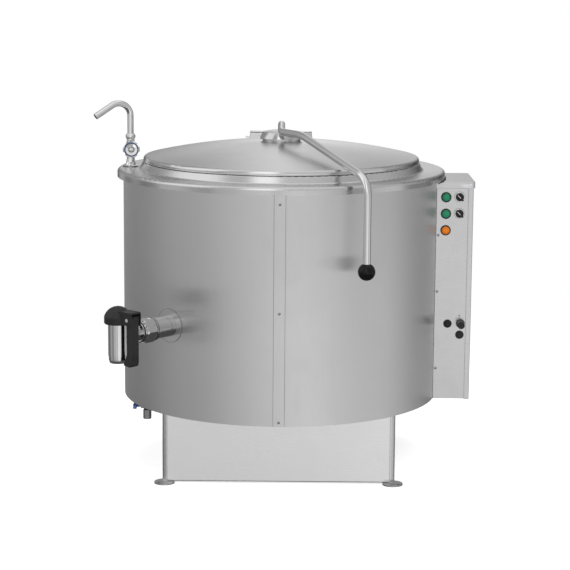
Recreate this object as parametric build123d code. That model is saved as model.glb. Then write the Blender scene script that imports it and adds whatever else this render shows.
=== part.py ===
from build123d import *
import os
from math import cos, radians, sin, sqrt

# A gas-heated, steam jacketed boiling kettle: a round vessel in a steam jacket, clad in sheet steel,
# on a square plinth, with a control column, a hinged lid, a water tap and a lever-operated draw-off.
# Frame: origin on the floor under the vessel's axis, +Z up, the operator stands on the -Y side and
# has +X on the right. All sizes are in millimetres.

# ---- vessel, deck and cladding ----
deck_height = 900.0             # working height
deck_radius = 498.0
deck_edge_radius = 10.0
deck_lip_depth = 23.0
deck_sheet = 2.5
collar_foot_radius = deck_radius - 68.0
collar_top_radius = deck_radius - 79.0
collar_height = 22.0
vessel_radius = deck_radius - 98.0
vessel_wall = 2.5
vessel_floor = deck_height - 454.0
vessel_knuckle = 45.0
jacket_gap = 22.5               # steam space round the vessel
jacket_wall = 3.0
jacket_top = deck_height - 88.0
jacket_floor = vessel_floor - 116.0
jacket_knuckle = 30.0
insulation_thickness = 18.0
insulation_top = deck_height - 50.0
casing_radius = deck_radius - 18.0
casing_sheet = 1.5
casing_height = 692.0           # deck surface to the casing's lower edge
casing_bottom = deck_height - casing_height
window_half = 60.0              # opening between the casing and the control column
window_top = deck_height - 60.0
seam_strip_width = 32.0
seam_screw_heights = (casing_bottom + 12.0, deck_height - 363.0, deck_height - 51.0)
pan_sheet = 2.0
pan_flange = 18.0
pan_air_radius = 120.0

# ---- plinth ----
plinth_width = 2 * (deck_radius - 155.0)    # along X
plinth_depth = plinth_width - 6.0           # along Y
plinth_post = 16.0
plinth_post_radius = 7.0
plinth_sheet = 2.0
plinth_panel_setback = 2.0
foot_plate_radius = 30.0
foot_plate_thickness = 5.0
foot_plate_inset = 6.0          # plate centre to plinth corner, along X
floor_bolt_radius = 4.5
floor_bolt_outset = 16.0        # bolt hole from plate centre, along X and Y

# ---- burner, flue and safety valve ----
chamber_radius = vessel_radius - 100.0
chamber_wall = 2.0
burner_arms = 8
burner_reach = chamber_radius - 110.0
burner_arm_radius = 12.0
burner_socket = 12.0
burner_height = casing_bottom + 60.0
burner_hub_radius = 38.0
burner_hub_floor = 4.0          # metal under the feed pipe's socket
flue_x = 150.0
flue_height = casing_bottom + 75.0
flue_radius = 45.0
flue_wall = 1.5
flue_end_y = casing_radius + 65.0
flue_bead_y = casing_radius + 5.0   # the connecting pipe pushes on up to this bead
flue_bead = 3.0
flue_bead_length = 4.0
safety_valve_x = vessel_radius - 100.0
safety_valve_radius = 13.0
safety_stub_radius = 8.0
safety_valve_drop = 60.0        # below the top of the jacket

# ---- control column ----
column_right = casing_radius + 98.0
column_half_depth = 110.0
column_top = deck_height - 25.0
column_sheet = 1.5
column_flange = 15.0
column_fold = 3.0
column_cap_lip = 20.0
column_cap_overhang = 4.0
column_cap_corner = 8.0
column_cover_drop = 2.0
column_screw_heights = (casing_bottom + 95.0, column_top - 335.0, column_top - 163.0)
column_screw_inset = 7.0
panel_rear = 30.0               # how far the lamps and switches reach behind the panel
device_hole_radius = 11.2
lamp_x = column_right - 82.0
green_lamp_heights = (column_top - 48.0, column_top - 98.0)
orange_lamp_height = column_top - 148.0
bezel_radius = 15.5
bezel_depth = 4.0
lens_radius = 11.8
lens_depth = 7.0
selector_x = column_right - 41.5
selector_heights = (column_top - 47.0, column_top - 97.0)
selector_knob_radius = 12.0
selector_knob_depth = 9.0
selector_grip_width = 6.5
selector_grip_depth = 9.0
igniter_x = column_right - 70.0
igniter_height = casing_bottom + 233.0
igniter_radius = 13.0
igniter_button_radius = 9.0
gas_knob_x = column_right - 31.0
gas_knob_height = casing_bottom + 233.5
gas_collar_radius = 13.5
gas_knob_radius = 11.5
gas_knob_depth = 36.0
plug_x = column_right - 33.0
plug_height = casing_bottom + 199.0
plug_radius = 13.0
gas_thread_radius = 13.2        # G 3/4 thread
gas_thread_length = 16.0
gas_pipe_radius = 9.2
gas_inlet_y = 62.0
gas_inlet_bottom = casing_bottom - gas_thread_length - 2.0
gas_manifold_height = casing_bottom + 32.0
gas_cock_half = 23.0
gas_line_offset = 10.0
gland_y = 20.0
gland_x = column_right - 30.0
gland_radius = 12.5             # M25

# ---- lid ----
lid_radius = collar_top_radius
lid_sheet = 2.0
lid_crown = deck_height + 84.2
lid_shoulder = deck_height + 35.8       # where the dome would meet the rim
lid_rim_bottom = deck_height + 25.5
lid_knuckle = 10.0
gasket_inner_radius = lid_radius - 16.0
gasket_outer_radius = lid_radius - 6.0
gasket_gap = 0.3
hub_neck_radius = 58.0
hub_base_radius = 65.0
hub_top_radius = 54.0
hub_lift = 5.0                  # the hub's rim stands clear of the lid
hub_top = lid_crown + 29.8
hub_crown = lid_crown + 32.8
arm_radius = 11.0
arm_wall = 2.0
hinge_axis_y = deck_radius - 28.0
hinge_axis_height = deck_height + 42.0
handle_reach = deck_radius + 7.0
arm_points = ((0.0, hinge_axis_y, hinge_axis_height), (0.0, 40.0, lid_crown + 45.8),
              (0.0, -75.0, lid_crown + 31.8), (60.0, -180.0, lid_crown + 32.8),
              (244.5, -handle_reach, deck_height + 24.5), (244.5, -handle_reach, deck_height - 236.0))
arm_bends = (110.0, 42.0, 260.0, 60.0)
ball_radius = 25.0
ball_bore_depth = 14.0

# ---- lid hinge ----
hinge_left = -106.0
hinge_right = 97.0
hinge_front = hinge_axis_y - 29.0
hinge_rear = hinge_axis_y + 29.0
hinge_top = hinge_axis_height + 25.0
hinge_plate = 4.0
hinge_cover_sheet = 1.5
hinge_cover_fold = 4.0
hinge_slot_half = 14.0
hinge_shaft_radius = 9.0
hinge_shaft_end = 14.0          # how far the shaft stands out on the left
hinge_boss_radius = 17.0
hinge_boss_half = 12.0
spring_wire_radius = 2.5
spring_coils = 5

# ---- water tap ----
tap_x = -(deck_radius - 38.0)
tap_y = 8.0
tap_turn = 8.0                  # the wheel's axis, degrees to the right of the -Y direction
tap_flange_radius = 22.5
tap_body_radius = 12.0
tap_neck_top = deck_height + 85.0
tap_nut_radius = 15.0
tap_nut_height = 15.0
tap_wheel_height = deck_height + 55.0
tap_bonnet_reach = 24.0
tap_wheel_reach = 38.0
tap_wheel_radius = 24.5
tap_wheel_thickness = 8.0
tap_ring_radius = 21.5
tap_ring_width = 3.5
tap_cap_radius = 7.0
spout_radius = 9.5
spout_bore = 8.0
spout_top = deck_height + 222.0
spout_reach = 112.0
spout_drop = 68.0
spout_yaw = 205.0               # heading of the spout, degrees from +X
spout_bend = 38.0
water_pipe_radius = 7.5
water_thread_radius = 10.5      # G 1/2 thread
water_thread_length = 20.0
water_shoulder_radius = 14.0
water_inlet_bottom = casing_bottom - water_thread_length - 4.0
feed_pipe_gap = 22.0            # the pipe ends this far below the deck, in the tap's shank

# ---- draw-off ----
drain_azimuth = -41.7           # degrees to the right of the -Y direction
drain_height = vessel_floor + 31.0
drain_pipe_radius = 30.15       # 2 inch tube
drain_pipe_wall = 2.0
drain_rib_width = 4.0
escutcheon_radius = 49.0
escutcheon_thickness = 1.5
union_start = casing_radius + 80.0
union_length = 44.0
union_across_flats = 65.0
valve_reach = casing_radius + 203.0     # kettle axis to valve axis
valve_radius = 28.5
valve_outlet_bore = 20.0
valve_top = drain_height + 35.0
valve_bottom = drain_height - 77.0
valve_taper = 20.0
valve_branch_radius = 25.0
valve_port_radius = 18.0
plug_cock_radius = 24.0
plug_cock_length = 72.0
plug_stem_width = 14.0
hood_radius = 39.5
hood_skirt = 20.0
hood_top = valve_top + 50.0
hood_wall = 4.0
lever_pivot_reach = 56.0
lever_pivot_height = valve_top + 18.0
lever_pin_radius = 5.0
lever_head_radius = 14.0
lever_width = 32.0
lever_inner = lever_pivot_reach - 5.0
lever_outer = lever_pivot_reach + 14.5
lever_toe = lever_pivot_reach - 17.0
lever_bottom = valve_bottom - 4.0
hood_ear_reach = lever_pivot_reach + 17.0
hood_ear_top = lever_pivot_height + 22.0
hood_ear_bottom = lever_pivot_height - 15.0
hood_cheek = 3.5

# ---- jacket level cock ----
cock_x = -(casing_radius - 79.0)
cock_y = -150.0
cock_pipe_radius = 9.0
cock_body_radius = 14.0
cock_height = casing_bottom - 21.0
cock_nozzle_radius = 11.0
cock_nozzle_length = 39.0
cock_pipe_turn = casing_bottom + 80.0
cock_pipe_inner_share = 0.865   # the pipe's jacket end, as a share of the cock's distance
cock_handle_reach = 37.0
cock_handle_half = 17.0

# ---- clearances ----
running_fit = 0.05              # radial, between a shaft and its bearing
slide_fit = 0.2
body_gap = 0.5                  # between faces that pass each other
joint_clearance = 1.0           # round fixed things that pass through sheet

deck_underside = deck_height - deck_sheet
union_end = union_start + union_length
vessel_outer = vessel_radius + vessel_wall
jacket_radius = vessel_outer + jacket_gap
casing_inner = casing_radius - casing_sheet
casing_top = deck_underside
column_front = -column_half_depth
panel_back = column_front + column_sheet
column_left = sqrt(casing_radius ** 2 - column_half_depth ** 2)


# ---- helpers ----
def rod(start, direction, radius, length):
    """A straight round bar from start along direction."""
    return Plane(origin=start, z_dir=direction) * Cylinder(
        radius, length, align=(Align.CENTER, Align.CENTER, Align.MIN))


def tube(start, direction, radius, bore, length):
    return rod(start, direction, radius, length) - rod(start, direction, bore, length)


def hexagon(start, direction, across_flats, length):
    """A hexagonal bar with its corners turned off at both ends."""
    prism = Plane(origin=start, z_dir=direction) * extrude(
        RegularPolygon(across_flats / 2, 6, major_radius=False), length)
    cone_height = length / 2 + across_flats * 0.9
    cone = Cone(across_flats * 0.9 + across_flats * 0.53, across_flats * 0.53, cone_height,
                align=(Align.CENTER, Align.CENTER, Align.MAX))
    outer = Plane(origin=start, z_dir=direction) * (Pos(0, 0, length) * cone)
    lower = Plane(origin=start, z_dir=direction) * (Rot(180, 0, 0) * cone)
    return prism & outer & lower


def box(low, high):
    size = [b - a for a, b in zip(low, high)]
    return Pos(*low) * Box(*size, align=(Align.MIN, Align.MIN, Align.MIN))


def corner(face, x, y):
    return face.vertices().sort_by_distance((x, y))[0]


def turned(face):
    """A profile in (radius, height) turned about the vertical axis."""
    return revolve(Plane.XZ * face, Axis.Z)


def turned_points(points):
    return turned(make_face(Polyline(*points, close=True)))


def turned_along(points, start, direction):
    """A profile in (radius, distance) turned about the line from start along direction."""
    return Plane(origin=start, z_dir=direction) * turned_points(points)


def moved_left(points, distance):
    """A chain of points moved to its left by distance, with mitred corners."""
    chain = [Vector(*point) for point in points]
    normals = []
    for first, second in zip(chain, chain[1:]):
        run = (second - first).normalized()
        normals.append(Vector(-run.Y, run.X))
    moved = [chain[0] + normals[0] * distance]
    for point, before, after in zip(chain[1:-1], normals, normals[1:]):
        bisector = (before + after).normalized()
        moved.append(point + bisector * (distance / bisector.dot(before)))
    moved.append(chain[-1] + normals[-1] * distance)
    return moved


def folded(points, radii, thickness):
    """The section of a sheet folded along points, thickness to the left of the way it runs."""
    near = FilletPolyline(*points, radius=list(radii))
    chain = [Vector(*point) for point in points]
    far_radii = []
    for before, point, after, radius in zip(chain, chain[1:], chain[2:], radii):
        turn = (point - before).cross(after - point).Z
        far_radii.append(radius - thickness if turn * thickness > 0 else radius + abs(thickness))
    far = FilletPolyline(*moved_left(points, thickness), radius=far_radii)
    edges = near.edges() + far.edges() + [Line(near @ 0, far @ 0).edge(), Line(near @ 1, far @ 1).edge()]
    return make_face(edges)


def crown_arc(radius, crown, shoulder):
    """Half the section of a spherical cap, from the crown on the axis out to radius."""
    drop = crown - shoulder
    sphere = (radius ** 2 + drop ** 2) / (2 * drop)
    middle = radius / 2
    return ThreePointArc((0, crown), (middle, crown - sphere + sqrt(sphere ** 2 - middle ** 2)),
                         (radius, shoulder))


def dome(radius, crown, shoulder, bottom, knuckle):
    """A solid cap: a shallow spherical top, a rounded shoulder and a straight rim."""
    top = crown_arc(radius, crown, shoulder)
    sides = Polyline((radius, shoulder), (radius, bottom), (0, bottom), (0, crown))
    face = make_face(top.edges() + sides.edges())
    return turned(fillet(corner(face, radius, shoulder), knuckle))


def round_box(low, high, radius):
    """A box with its four upright edges rounded."""
    return fillet(box(low, high).edges().filter_by(Axis.Z), radius)


def drain_point(across, outward, height):
    """A place in the draw-off's own directions: across to its right, outward from the kettle."""
    azimuth = radians(drain_azimuth)
    x = outward * sin(azimuth) + across * cos(azimuth)
    y = -outward * cos(azimuth) + across * sin(azimuth)
    return (x, y, height)


def drain_place(part):
    """A part drawn with X across and -Y outward, turned to the draw-off's azimuth."""
    return Rot(0, 0, drain_azimuth) * part


outward = Vector(*drain_point(0, 1, 0))
drain_hole = rod((0, 0, drain_height), outward, drain_pipe_radius, union_start)
casing_disc = rod((0, 0, 0), (0, 0, 1), casing_radius, deck_height)
parts = {}


# ---- plinth ----
def plinth_corners():
    return [(sx * plinth_width / 2, sy * plinth_depth / 2, sx, sy) for sx in (-1, 1) for sy in (-1, 1)]


def build_plinth():
    plates = []
    posts = []
    for x, y, sx, sy in plinth_corners():
        centre_x = x - sx * foot_plate_inset
        plate = rod((centre_x, y, 0), (0, 0, 1), foot_plate_radius, foot_plate_thickness)
        hole_x = centre_x + sx * floor_bolt_outset
        hole_y = y + sy * floor_bolt_outset
        hole = rod((hole_x, hole_y, 0), (0, 0, 1), floor_bolt_radius, foot_plate_thickness)
        plates.append(plate - hole)
        low = (min(x, x - sx * plinth_post), min(y, y - sy * plinth_post), foot_plate_thickness)
        high = (max(x, x - sx * plinth_post), max(y, y - sy * plinth_post), casing_bottom)
        posts.append(round_box(low, high, plinth_post_radius))
    parts["foot_plates"] = Compound(plates)
    parts["plinth_posts"] = Compound(posts)

    half_x = plinth_width / 2 - plinth_post
    half_y = plinth_depth / 2 - plinth_post
    outer_x = plinth_width / 2 - plinth_panel_setback
    outer_y = plinth_depth / 2 - plinth_panel_setback
    front = plinth_panel(outer_y, half_x)
    side = plinth_panel(outer_x, half_y)
    parts["plinth_panels"] = Compound([
        Rot(0, 0, 180) * front, front, Rot(0, 0, 90) * side, Rot(0, 0, -90) * side])


def plinth_panel(outer, half_width):
    """A channel section sheet between two posts, its face at outer from the middle of the plinth."""
    flange = plinth_post - plinth_panel_setback
    section = folded([(outer - flange, foot_plate_thickness), (outer, foot_plate_thickness),
                      (outer, casing_bottom), (outer - flange, casing_bottom)],
                     [3.0, 3.0], plinth_sheet)
    return Pos(-half_width, 0, 0) * extrude(Plane.YZ * section, 2 * half_width)


# ---- cladding ----
def build_casing():
    shell = tube((0, 0, casing_bottom), (0, 0, 1), casing_radius, casing_inner, casing_top - casing_bottom)
    flue_hole = rod((flue_x, 0, flue_height), (0, 1, 0), flue_radius + joint_clearance, flue_end_y)
    wiring_window = box((casing_inner - 40, -window_half, casing_bottom + pan_flange + 2),
                        (casing_radius + 10, window_half, window_top))
    pipe_hole = rod((0, 0, drain_height), outward, drain_pipe_radius + joint_clearance, union_start)
    left = box((-casing_radius, -casing_radius, casing_bottom), (0, casing_radius, casing_top))
    right = box((0, -casing_radius, casing_bottom), (casing_radius, casing_radius, casing_top))
    parts["casing_left"] = (shell & left) - pipe_hole
    parts["casing_right"] = (shell & right) - flue_hole - wiring_window

    strip_ring = tube((0, 0, casing_bottom), (0, 0, 1), casing_radius + casing_sheet, casing_radius,
                      deck_height - deck_lip_depth - casing_bottom - joint_clearance)
    half = seam_strip_width / 2
    front_band = box((-half, -deck_radius, casing_bottom), (half, 0, deck_height))
    parts["seam_strips"] = Compound([strip_ring & front_band, strip_ring & (Rot(0, 0, 180) * front_band)])
    parts["seam_screws"] = Compound([
        seam_screw(height, side) for height in seam_screw_heights for side in (-1, 1)])
    parts["casing_bottom_pan"] = bottom_pan()


def seam_screw(height, side):
    """A pan head screw on a seam strip; side is -1 in front and 1 behind."""
    head_radius = 4.0
    head = turned_points([(0, 0), (head_radius, 0), (head_radius - 0.6, 1.4), (1.6, 2.0), (0, 2.0)])
    slot = box((-head_radius, -0.5, 1.3), (head_radius, 0.5, 3.0))
    strip_face = side * (casing_radius + casing_sheet)
    return Plane(origin=(0, strip_face, height), z_dir=(0, side, 0)) * (head - slot)


def bottom_pan():
    outer = casing_inner
    section = folded([(pan_air_radius, casing_bottom), (outer, casing_bottom),
                      (outer, casing_bottom + pan_flange)], [5.0], pan_sheet)
    pan = turned(section)
    pan -= rod((cock_x, cock_y, 0), (0, 0, 1), cock_pipe_radius, deck_height)
    pan -= rod((tap_x, tap_y, 0), (0, 0, 1), water_pipe_radius, deck_height)
    return pan


# ---- vessel and jacket ----
def build_vessel():
    edge = deck_height - deck_lip_depth
    profile = folded([(deck_radius, edge), (deck_radius, deck_height), (collar_foot_radius, deck_height),
                      (collar_top_radius, deck_height + collar_height),
                      (vessel_radius, deck_height + collar_height), (vessel_radius, deck_height)],
                     [deck_edge_radius, 6.0, 6.0, 5.0], deck_sheet)
    deck = turned(profile) - tap_hole()
    parts["deck_ring"] = deck

    parts["inner_vessel"] = (cup(vessel_outer, vessel_floor - vessel_wall, vessel_knuckle + vessel_wall)
                             - cup(vessel_radius, vessel_floor, vessel_knuckle) - drain_hole)

    section = folded([(vessel_outer, jacket_top), (jacket_radius, jacket_top),
                      (jacket_radius, jacket_floor), (0, jacket_floor)],
                     [12.0, jacket_knuckle], -jacket_wall)
    parts["jacket_shell"] = turned(section) - drain_hole - safety_valve_hole()
    wool = tube((0, 0, jacket_floor + jacket_knuckle), (0, 0, 1), jacket_radius + insulation_thickness,
                jacket_radius, insulation_top - jacket_floor - jacket_knuckle)
    parts["insulation"] = wool - drain_hole - safety_valve_hole()


def tap_hole():
    return rod((tap_x, tap_y, 0), (0, 0, 1), water_thread_radius, deck_height + collar_height)


def cup(radius, floor, knuckle):
    solid = rod((0, 0, floor), (0, 0, 1), radius, deck_height - floor)
    return fillet(solid.edges().sort_by(Axis.Z)[0], knuckle)


# ---- heating ----
def safety_valve_hole():
    return rod((safety_valve_x, 0, jacket_top - safety_valve_drop), (0, 1, 0), safety_stub_radius,
               casing_inner)


def build_heating():
    chamber_floor = casing_bottom + pan_sheet
    chamber_top = jacket_floor
    flue_opening = rod((flue_x, 0, flue_height), (0, 1, 0), flue_radius, flue_end_y)
    chamber = tube((0, 0, chamber_floor), (0, 0, 1), chamber_radius, chamber_radius - chamber_wall,
                   chamber_top - chamber_floor) - flue_opening
    chamber -= rod((0, 0, gas_manifold_height), (1, 0, 0), gas_pipe_radius, column_right)
    parts["combustion_chamber"] = chamber

    hub_bottom = gas_manifold_height - gas_pipe_radius - burner_hub_floor
    burner = rod((0, 0, hub_bottom), (0, 0, 1), burner_hub_radius,
                 burner_height + burner_arm_radius + 3 - hub_bottom)
    for arm in range(burner_arms):
        turn = radians(360 / burner_arms * (arm + 0.5))
        burner += rod((0, 0, burner_height), (cos(turn), sin(turn), 0), burner_arm_radius, burner_reach)
    burner -= rod((burner_hub_radius - burner_socket, 0, gas_manifold_height), (1, 0, 0), gas_pipe_radius,
                  2 * burner_socket)
    parts["burner"] = burner

    duct_start = sqrt(chamber_radius ** 2 - (flue_x - flue_radius) ** 2) - 20
    duct = tube((flue_x, duct_start, flue_height), (0, 1, 0), flue_radius, flue_radius - flue_wall,
                flue_end_y - duct_start)
    duct -= rod((0, 0, chamber_floor), (0, 0, 1), chamber_radius - chamber_wall,
                chamber_top - chamber_floor)
    duct += tube((flue_x, flue_bead_y - flue_bead_length, flue_height), (0, 1, 0), flue_radius + flue_bead,
                 flue_radius - 0.5, flue_bead_length)
    parts["flue_duct"] = duct

    parts["safety_valve"] = safety_valve()


def safety_valve():
    """A spring-loaded valve on the jacket, upright between the insulation and the casing."""
    height = jacket_top - safety_valve_drop
    centre_radius = (jacket_radius + insulation_thickness + casing_inner) / 2
    y = sqrt(centre_radius ** 2 - safety_valve_x ** 2)
    stub = rod((safety_valve_x, 0, height), (0, 1, 0), safety_stub_radius, y)
    inside = rod((0, 0, 0), (0, 0, 1), jacket_radius - jacket_wall, deck_height)
    body = turned_along([(0, -20), (9, -20), (9, 18), (safety_valve_radius, 22), (safety_valve_radius, 44),
                         (6, 52), (0, 52)], (safety_valve_x, y, height), (0, 0, 1))
    return (stub - inside) + body


# ---- column ----
def build_column():
    bottom = casing_bottom
    inner_top = column_top - column_sheet
    panel = box((column_left - 6, column_front, bottom),
                (column_right - column_fold, panel_back, inner_top))
    for x, height in panel_devices():
        panel -= rod((x, column_front - 1, height), (0, 1, 0), device_hole_radius, 4)
    parts["column_front_panel"] = panel - casing_disc

    side_bottom = bottom - column_cover_drop
    side_height = column_top - column_cap_lip + 8 - side_bottom
    outer = column_half_depth
    section = folded([(column_right - column_flange, -outer - column_sheet),
                      (column_right, -outer - column_sheet),
                      (column_right, outer), (column_left - 6, outer)],
                     [column_fold, column_fold], column_sheet)
    cover = Pos(0, 0, side_bottom) * extrude(section, side_height)
    parts["column_side_cover"] = cover - casing_disc

    floor = box((column_left - 10, panel_back, bottom),
                (column_right - column_fold, column_half_depth - column_fold, bottom + column_sheet))
    floor -= rod((gland_x, gland_y, 0), (0, 0, 1), gland_radius, column_top)
    floor -= rod((gas_line_x(), gas_inlet_y, 0), (0, 0, 1), gas_pipe_radius, column_top)
    parts["column_floor"] = floor - casing_disc

    parts["column_top_cap"] = column_cap()
    screws = []
    for height in column_screw_heights:
        head = turned_points([(0, 0), (4.0, 0), (3.4, 1.4), (1.6, 2.0), (0, 2.0)])
        screws.append(Plane(origin=(column_left + column_screw_inset, column_front, height),
                            z_dir=(0, -1, 0)) * head)
    parts["column_screws"] = Compound(screws)


def column_cap():
    reach = column_half_depth + column_sheet + column_cap_overhang
    right = column_right + column_cap_overhang
    lip = column_top - column_cap_lip
    outside = box((column_left - 20, -reach, lip), (right, reach, column_top))
    outer_edges = outside.edges().filter_by(Axis.Z).sort_by(Axis.X)[-2:]
    outside = fillet(outer_edges, column_cap_corner)
    top_edges = outside.faces().sort_by(Axis.Z)[-1].edges()
    top_edges = [edge for edge in top_edges if edge.center().X > column_left - 19]
    outside = fillet(top_edges, column_cap_corner / 2)
    inside = box((column_left - 30, -reach + column_cap_overhang, lip),
                 (right - column_cap_overhang, reach - column_cap_overhang, column_top - column_sheet))
    return outside - inside - casing_disc


def panel_devices():
    lamps = [(lamp_x, height) for height in green_lamp_heights + (orange_lamp_height,)]
    selectors = [(selector_x, height) for height in selector_heights]
    return lamps + selectors + [(igniter_x, igniter_height), (gas_knob_x, gas_knob_height),
                                (plug_x, plug_height)]


def panel_plane(x, height):
    """A place on the front panel: X to the operator's right, Y up, Z out towards the operator."""
    return Plane(origin=(x, column_front, height), x_dir=(1, 0, 0), z_dir=(0, -1, 0))


def on_panel(x, height, points):
    """A turned piece on the front panel; its profile runs out of the panel towards the operator."""
    return panel_plane(x, height) * turned_points(points)


def build_devices():
    bezels = []
    for x, height in panel_devices()[:3]:
        bezels.append(on_panel(x, height, [
            (lens_radius, 0), (bezel_radius, 0), (bezel_radius, bezel_depth - 1),
            (bezel_radius - 1, bezel_depth), (lens_radius, bezel_depth)]))
    parts["lamp_bezels"] = Compound(bezels)
    lens = [(0, -panel_rear), (10, -panel_rear), (10, 0), (lens_radius, 0),
            (lens_radius, bezel_depth + 0.5), (lens_radius - 3, lens_depth - 0.8), (0, lens_depth)]
    parts["green_lamps"] = Compound([on_panel(lamp_x, height, lens) for height in green_lamp_heights])
    parts["orange_lamp"] = on_panel(lamp_x, orange_lamp_height, lens)

    shaft = 4.0
    collars = [on_panel(selector_x, height, [
        (shaft + running_fit, -panel_rear), (10.5, -panel_rear), (10.5, 0), (bezel_radius, 0),
        (bezel_radius - 1, bezel_depth), (shaft + running_fit, bezel_depth)])
        for height in selector_heights]
    parts["selector_bezels"] = Compound(collars)
    for name, height in zip(("upper", "lower"), selector_heights):
        parts["selector_knob_" + name] = selector_knob(height, shaft)

    igniter_collar = on_panel(igniter_x, igniter_height, [
        (igniter_button_radius + slide_fit, -18), (10.5, -18), (10.5, 0), (igniter_radius, 0),
        (igniter_radius - 1, 4), (igniter_button_radius + slide_fit, 4)])
    gas_collar = on_panel(gas_knob_x, gas_knob_height, [
        (shaft + 1, -5), (10.5, -5), (10.5, 0), (gas_collar_radius, 0), (gas_collar_radius - 1, 5),
        (shaft + 1, 5)])
    parts["knob_collars"] = Compound([igniter_collar, gas_collar])
    parts["igniter_button"] = on_panel(igniter_x, igniter_height, [
        (0, -8), (igniter_button_radius, -8), (igniter_button_radius, 8),
        (igniter_button_radius - 1.5, 9.5), (0, 9.5)])
    parts["blanking_plug"] = on_panel(plug_x, plug_height, [
        (0, -6), (10.5, -6), (10.5, 0), (plug_radius, 0), (plug_radius - 1.5, 3), (0, 3.4)])
    build_gas_train(shaft)
    parts["cable_gland"] = cable_gland()


def selector_knob(height, shaft):
    disc = [(0, -12), (shaft, -12), (shaft, bezel_depth + body_gap),
            (selector_knob_radius, bezel_depth + body_gap),
            (selector_knob_radius - 1, bezel_depth + selector_knob_depth),
            (0, bezel_depth + selector_knob_depth)]
    knob = on_panel(selector_x, height, disc)
    base = bezel_depth + selector_knob_depth
    grip = round_box((-selector_knob_radius + 1, -selector_grip_width / 2, base - 1),
                     (selector_knob_radius + 1, selector_grip_width / 2, base + selector_grip_depth), 2.5)
    return knob + panel_plane(selector_x, height) * (Rot(0, 0, -45) * grip)


def gas_line_x():
    return gas_knob_x + gas_line_offset


def build_gas_train(shaft):
    """Gas cock behind the panel, its pipes from the inlet and to the burner, and its knob."""
    block_front = panel_back + 14
    block_depth = 62
    block_half_height = 34
    block = box((gas_knob_x - gas_cock_half, block_front, gas_knob_height - block_half_height),
                (gas_knob_x + gas_cock_half, block_front + block_depth,
                 gas_knob_height + block_half_height))
    spindle_bore = rod((gas_knob_x, block_front, gas_knob_height), (0, 1, 0), shaft + running_fit, 20)
    parts["gas_cock"] = fillet(block.edges().filter_by(Axis.Y), 6.0) - spindle_bore

    block_bottom = gas_knob_height - block_half_height
    block_y = block_front + block_depth / 2
    line_x = gas_line_x()
    thread_top = gas_inlet_bottom + gas_thread_length
    run = FilletPolyline((line_x, gas_inlet_y, thread_top), (line_x, gas_inlet_y, block_bottom - 45),
                         (line_x, block_y, block_bottom - 45), (line_x, block_y, block_bottom), radius=18)
    supply = sweep(Plane(origin=run @ 0, z_dir=run % 0) * Circle(gas_pipe_radius), path=run)
    supply += rod((line_x, gas_inlet_y, gas_inlet_bottom), (0, 0, 1), gas_thread_radius, gas_thread_length)
    supply += rod((line_x, gas_inlet_y, thread_top), (0, 0, 1), gas_thread_radius + 3,
                  casing_bottom - thread_top)

    feed_x = gas_knob_x - gas_line_offset - 2
    feed = FilletPolyline((feed_x, block_y, block_bottom), (feed_x, block_y, gas_manifold_height + 50),
                          (feed_x, 0, gas_manifold_height + 50), (feed_x, 0, gas_manifold_height),
                          (burner_hub_radius - burner_socket, 0, gas_manifold_height), radius=18)
    burner_feed = sweep(Plane(origin=feed @ 0, z_dir=feed % 0) * Circle(gas_pipe_radius), path=feed)
    parts["gas_pipes"] = Compound([supply, burner_feed])
    knob = on_panel(gas_knob_x, gas_knob_height, [
        (0, -32), (shaft, -32), (shaft, 5 + body_gap), (gas_knob_radius + 1.5, 5 + body_gap),
        (gas_knob_radius, 12), (gas_knob_radius - 0.8, gas_knob_depth - 2),
        (gas_knob_radius - 2.5, gas_knob_depth), (0, gas_knob_depth)])
    pointer = box((-1.5, 2, 12), (1.5, gas_knob_radius + 1, gas_knob_depth + 1))
    parts["gas_knob"] = knob + panel_plane(gas_knob_x, gas_knob_height) * pointer


def cable_gland():
    return turned_along(
        [(4.5, -16), (gland_radius, -16), (gland_radius + 3, -14), (gland_radius + 3, 0),
         (gland_radius, 0), (gland_radius, 6), (gland_radius + 3, 6), (gland_radius + 3, 12), (4.5, 12)],
        (gland_x, gland_y, casing_bottom), (0, 0, 1))


# ---- lid ----
def arm_path():
    return FilletPolyline(*arm_points, radius=list(arm_bends))


def arm_solid(radius):
    path = arm_path()
    return sweep(Plane(origin=path @ 0, z_dir=path % 0) * Circle(radius), path=path)


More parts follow.
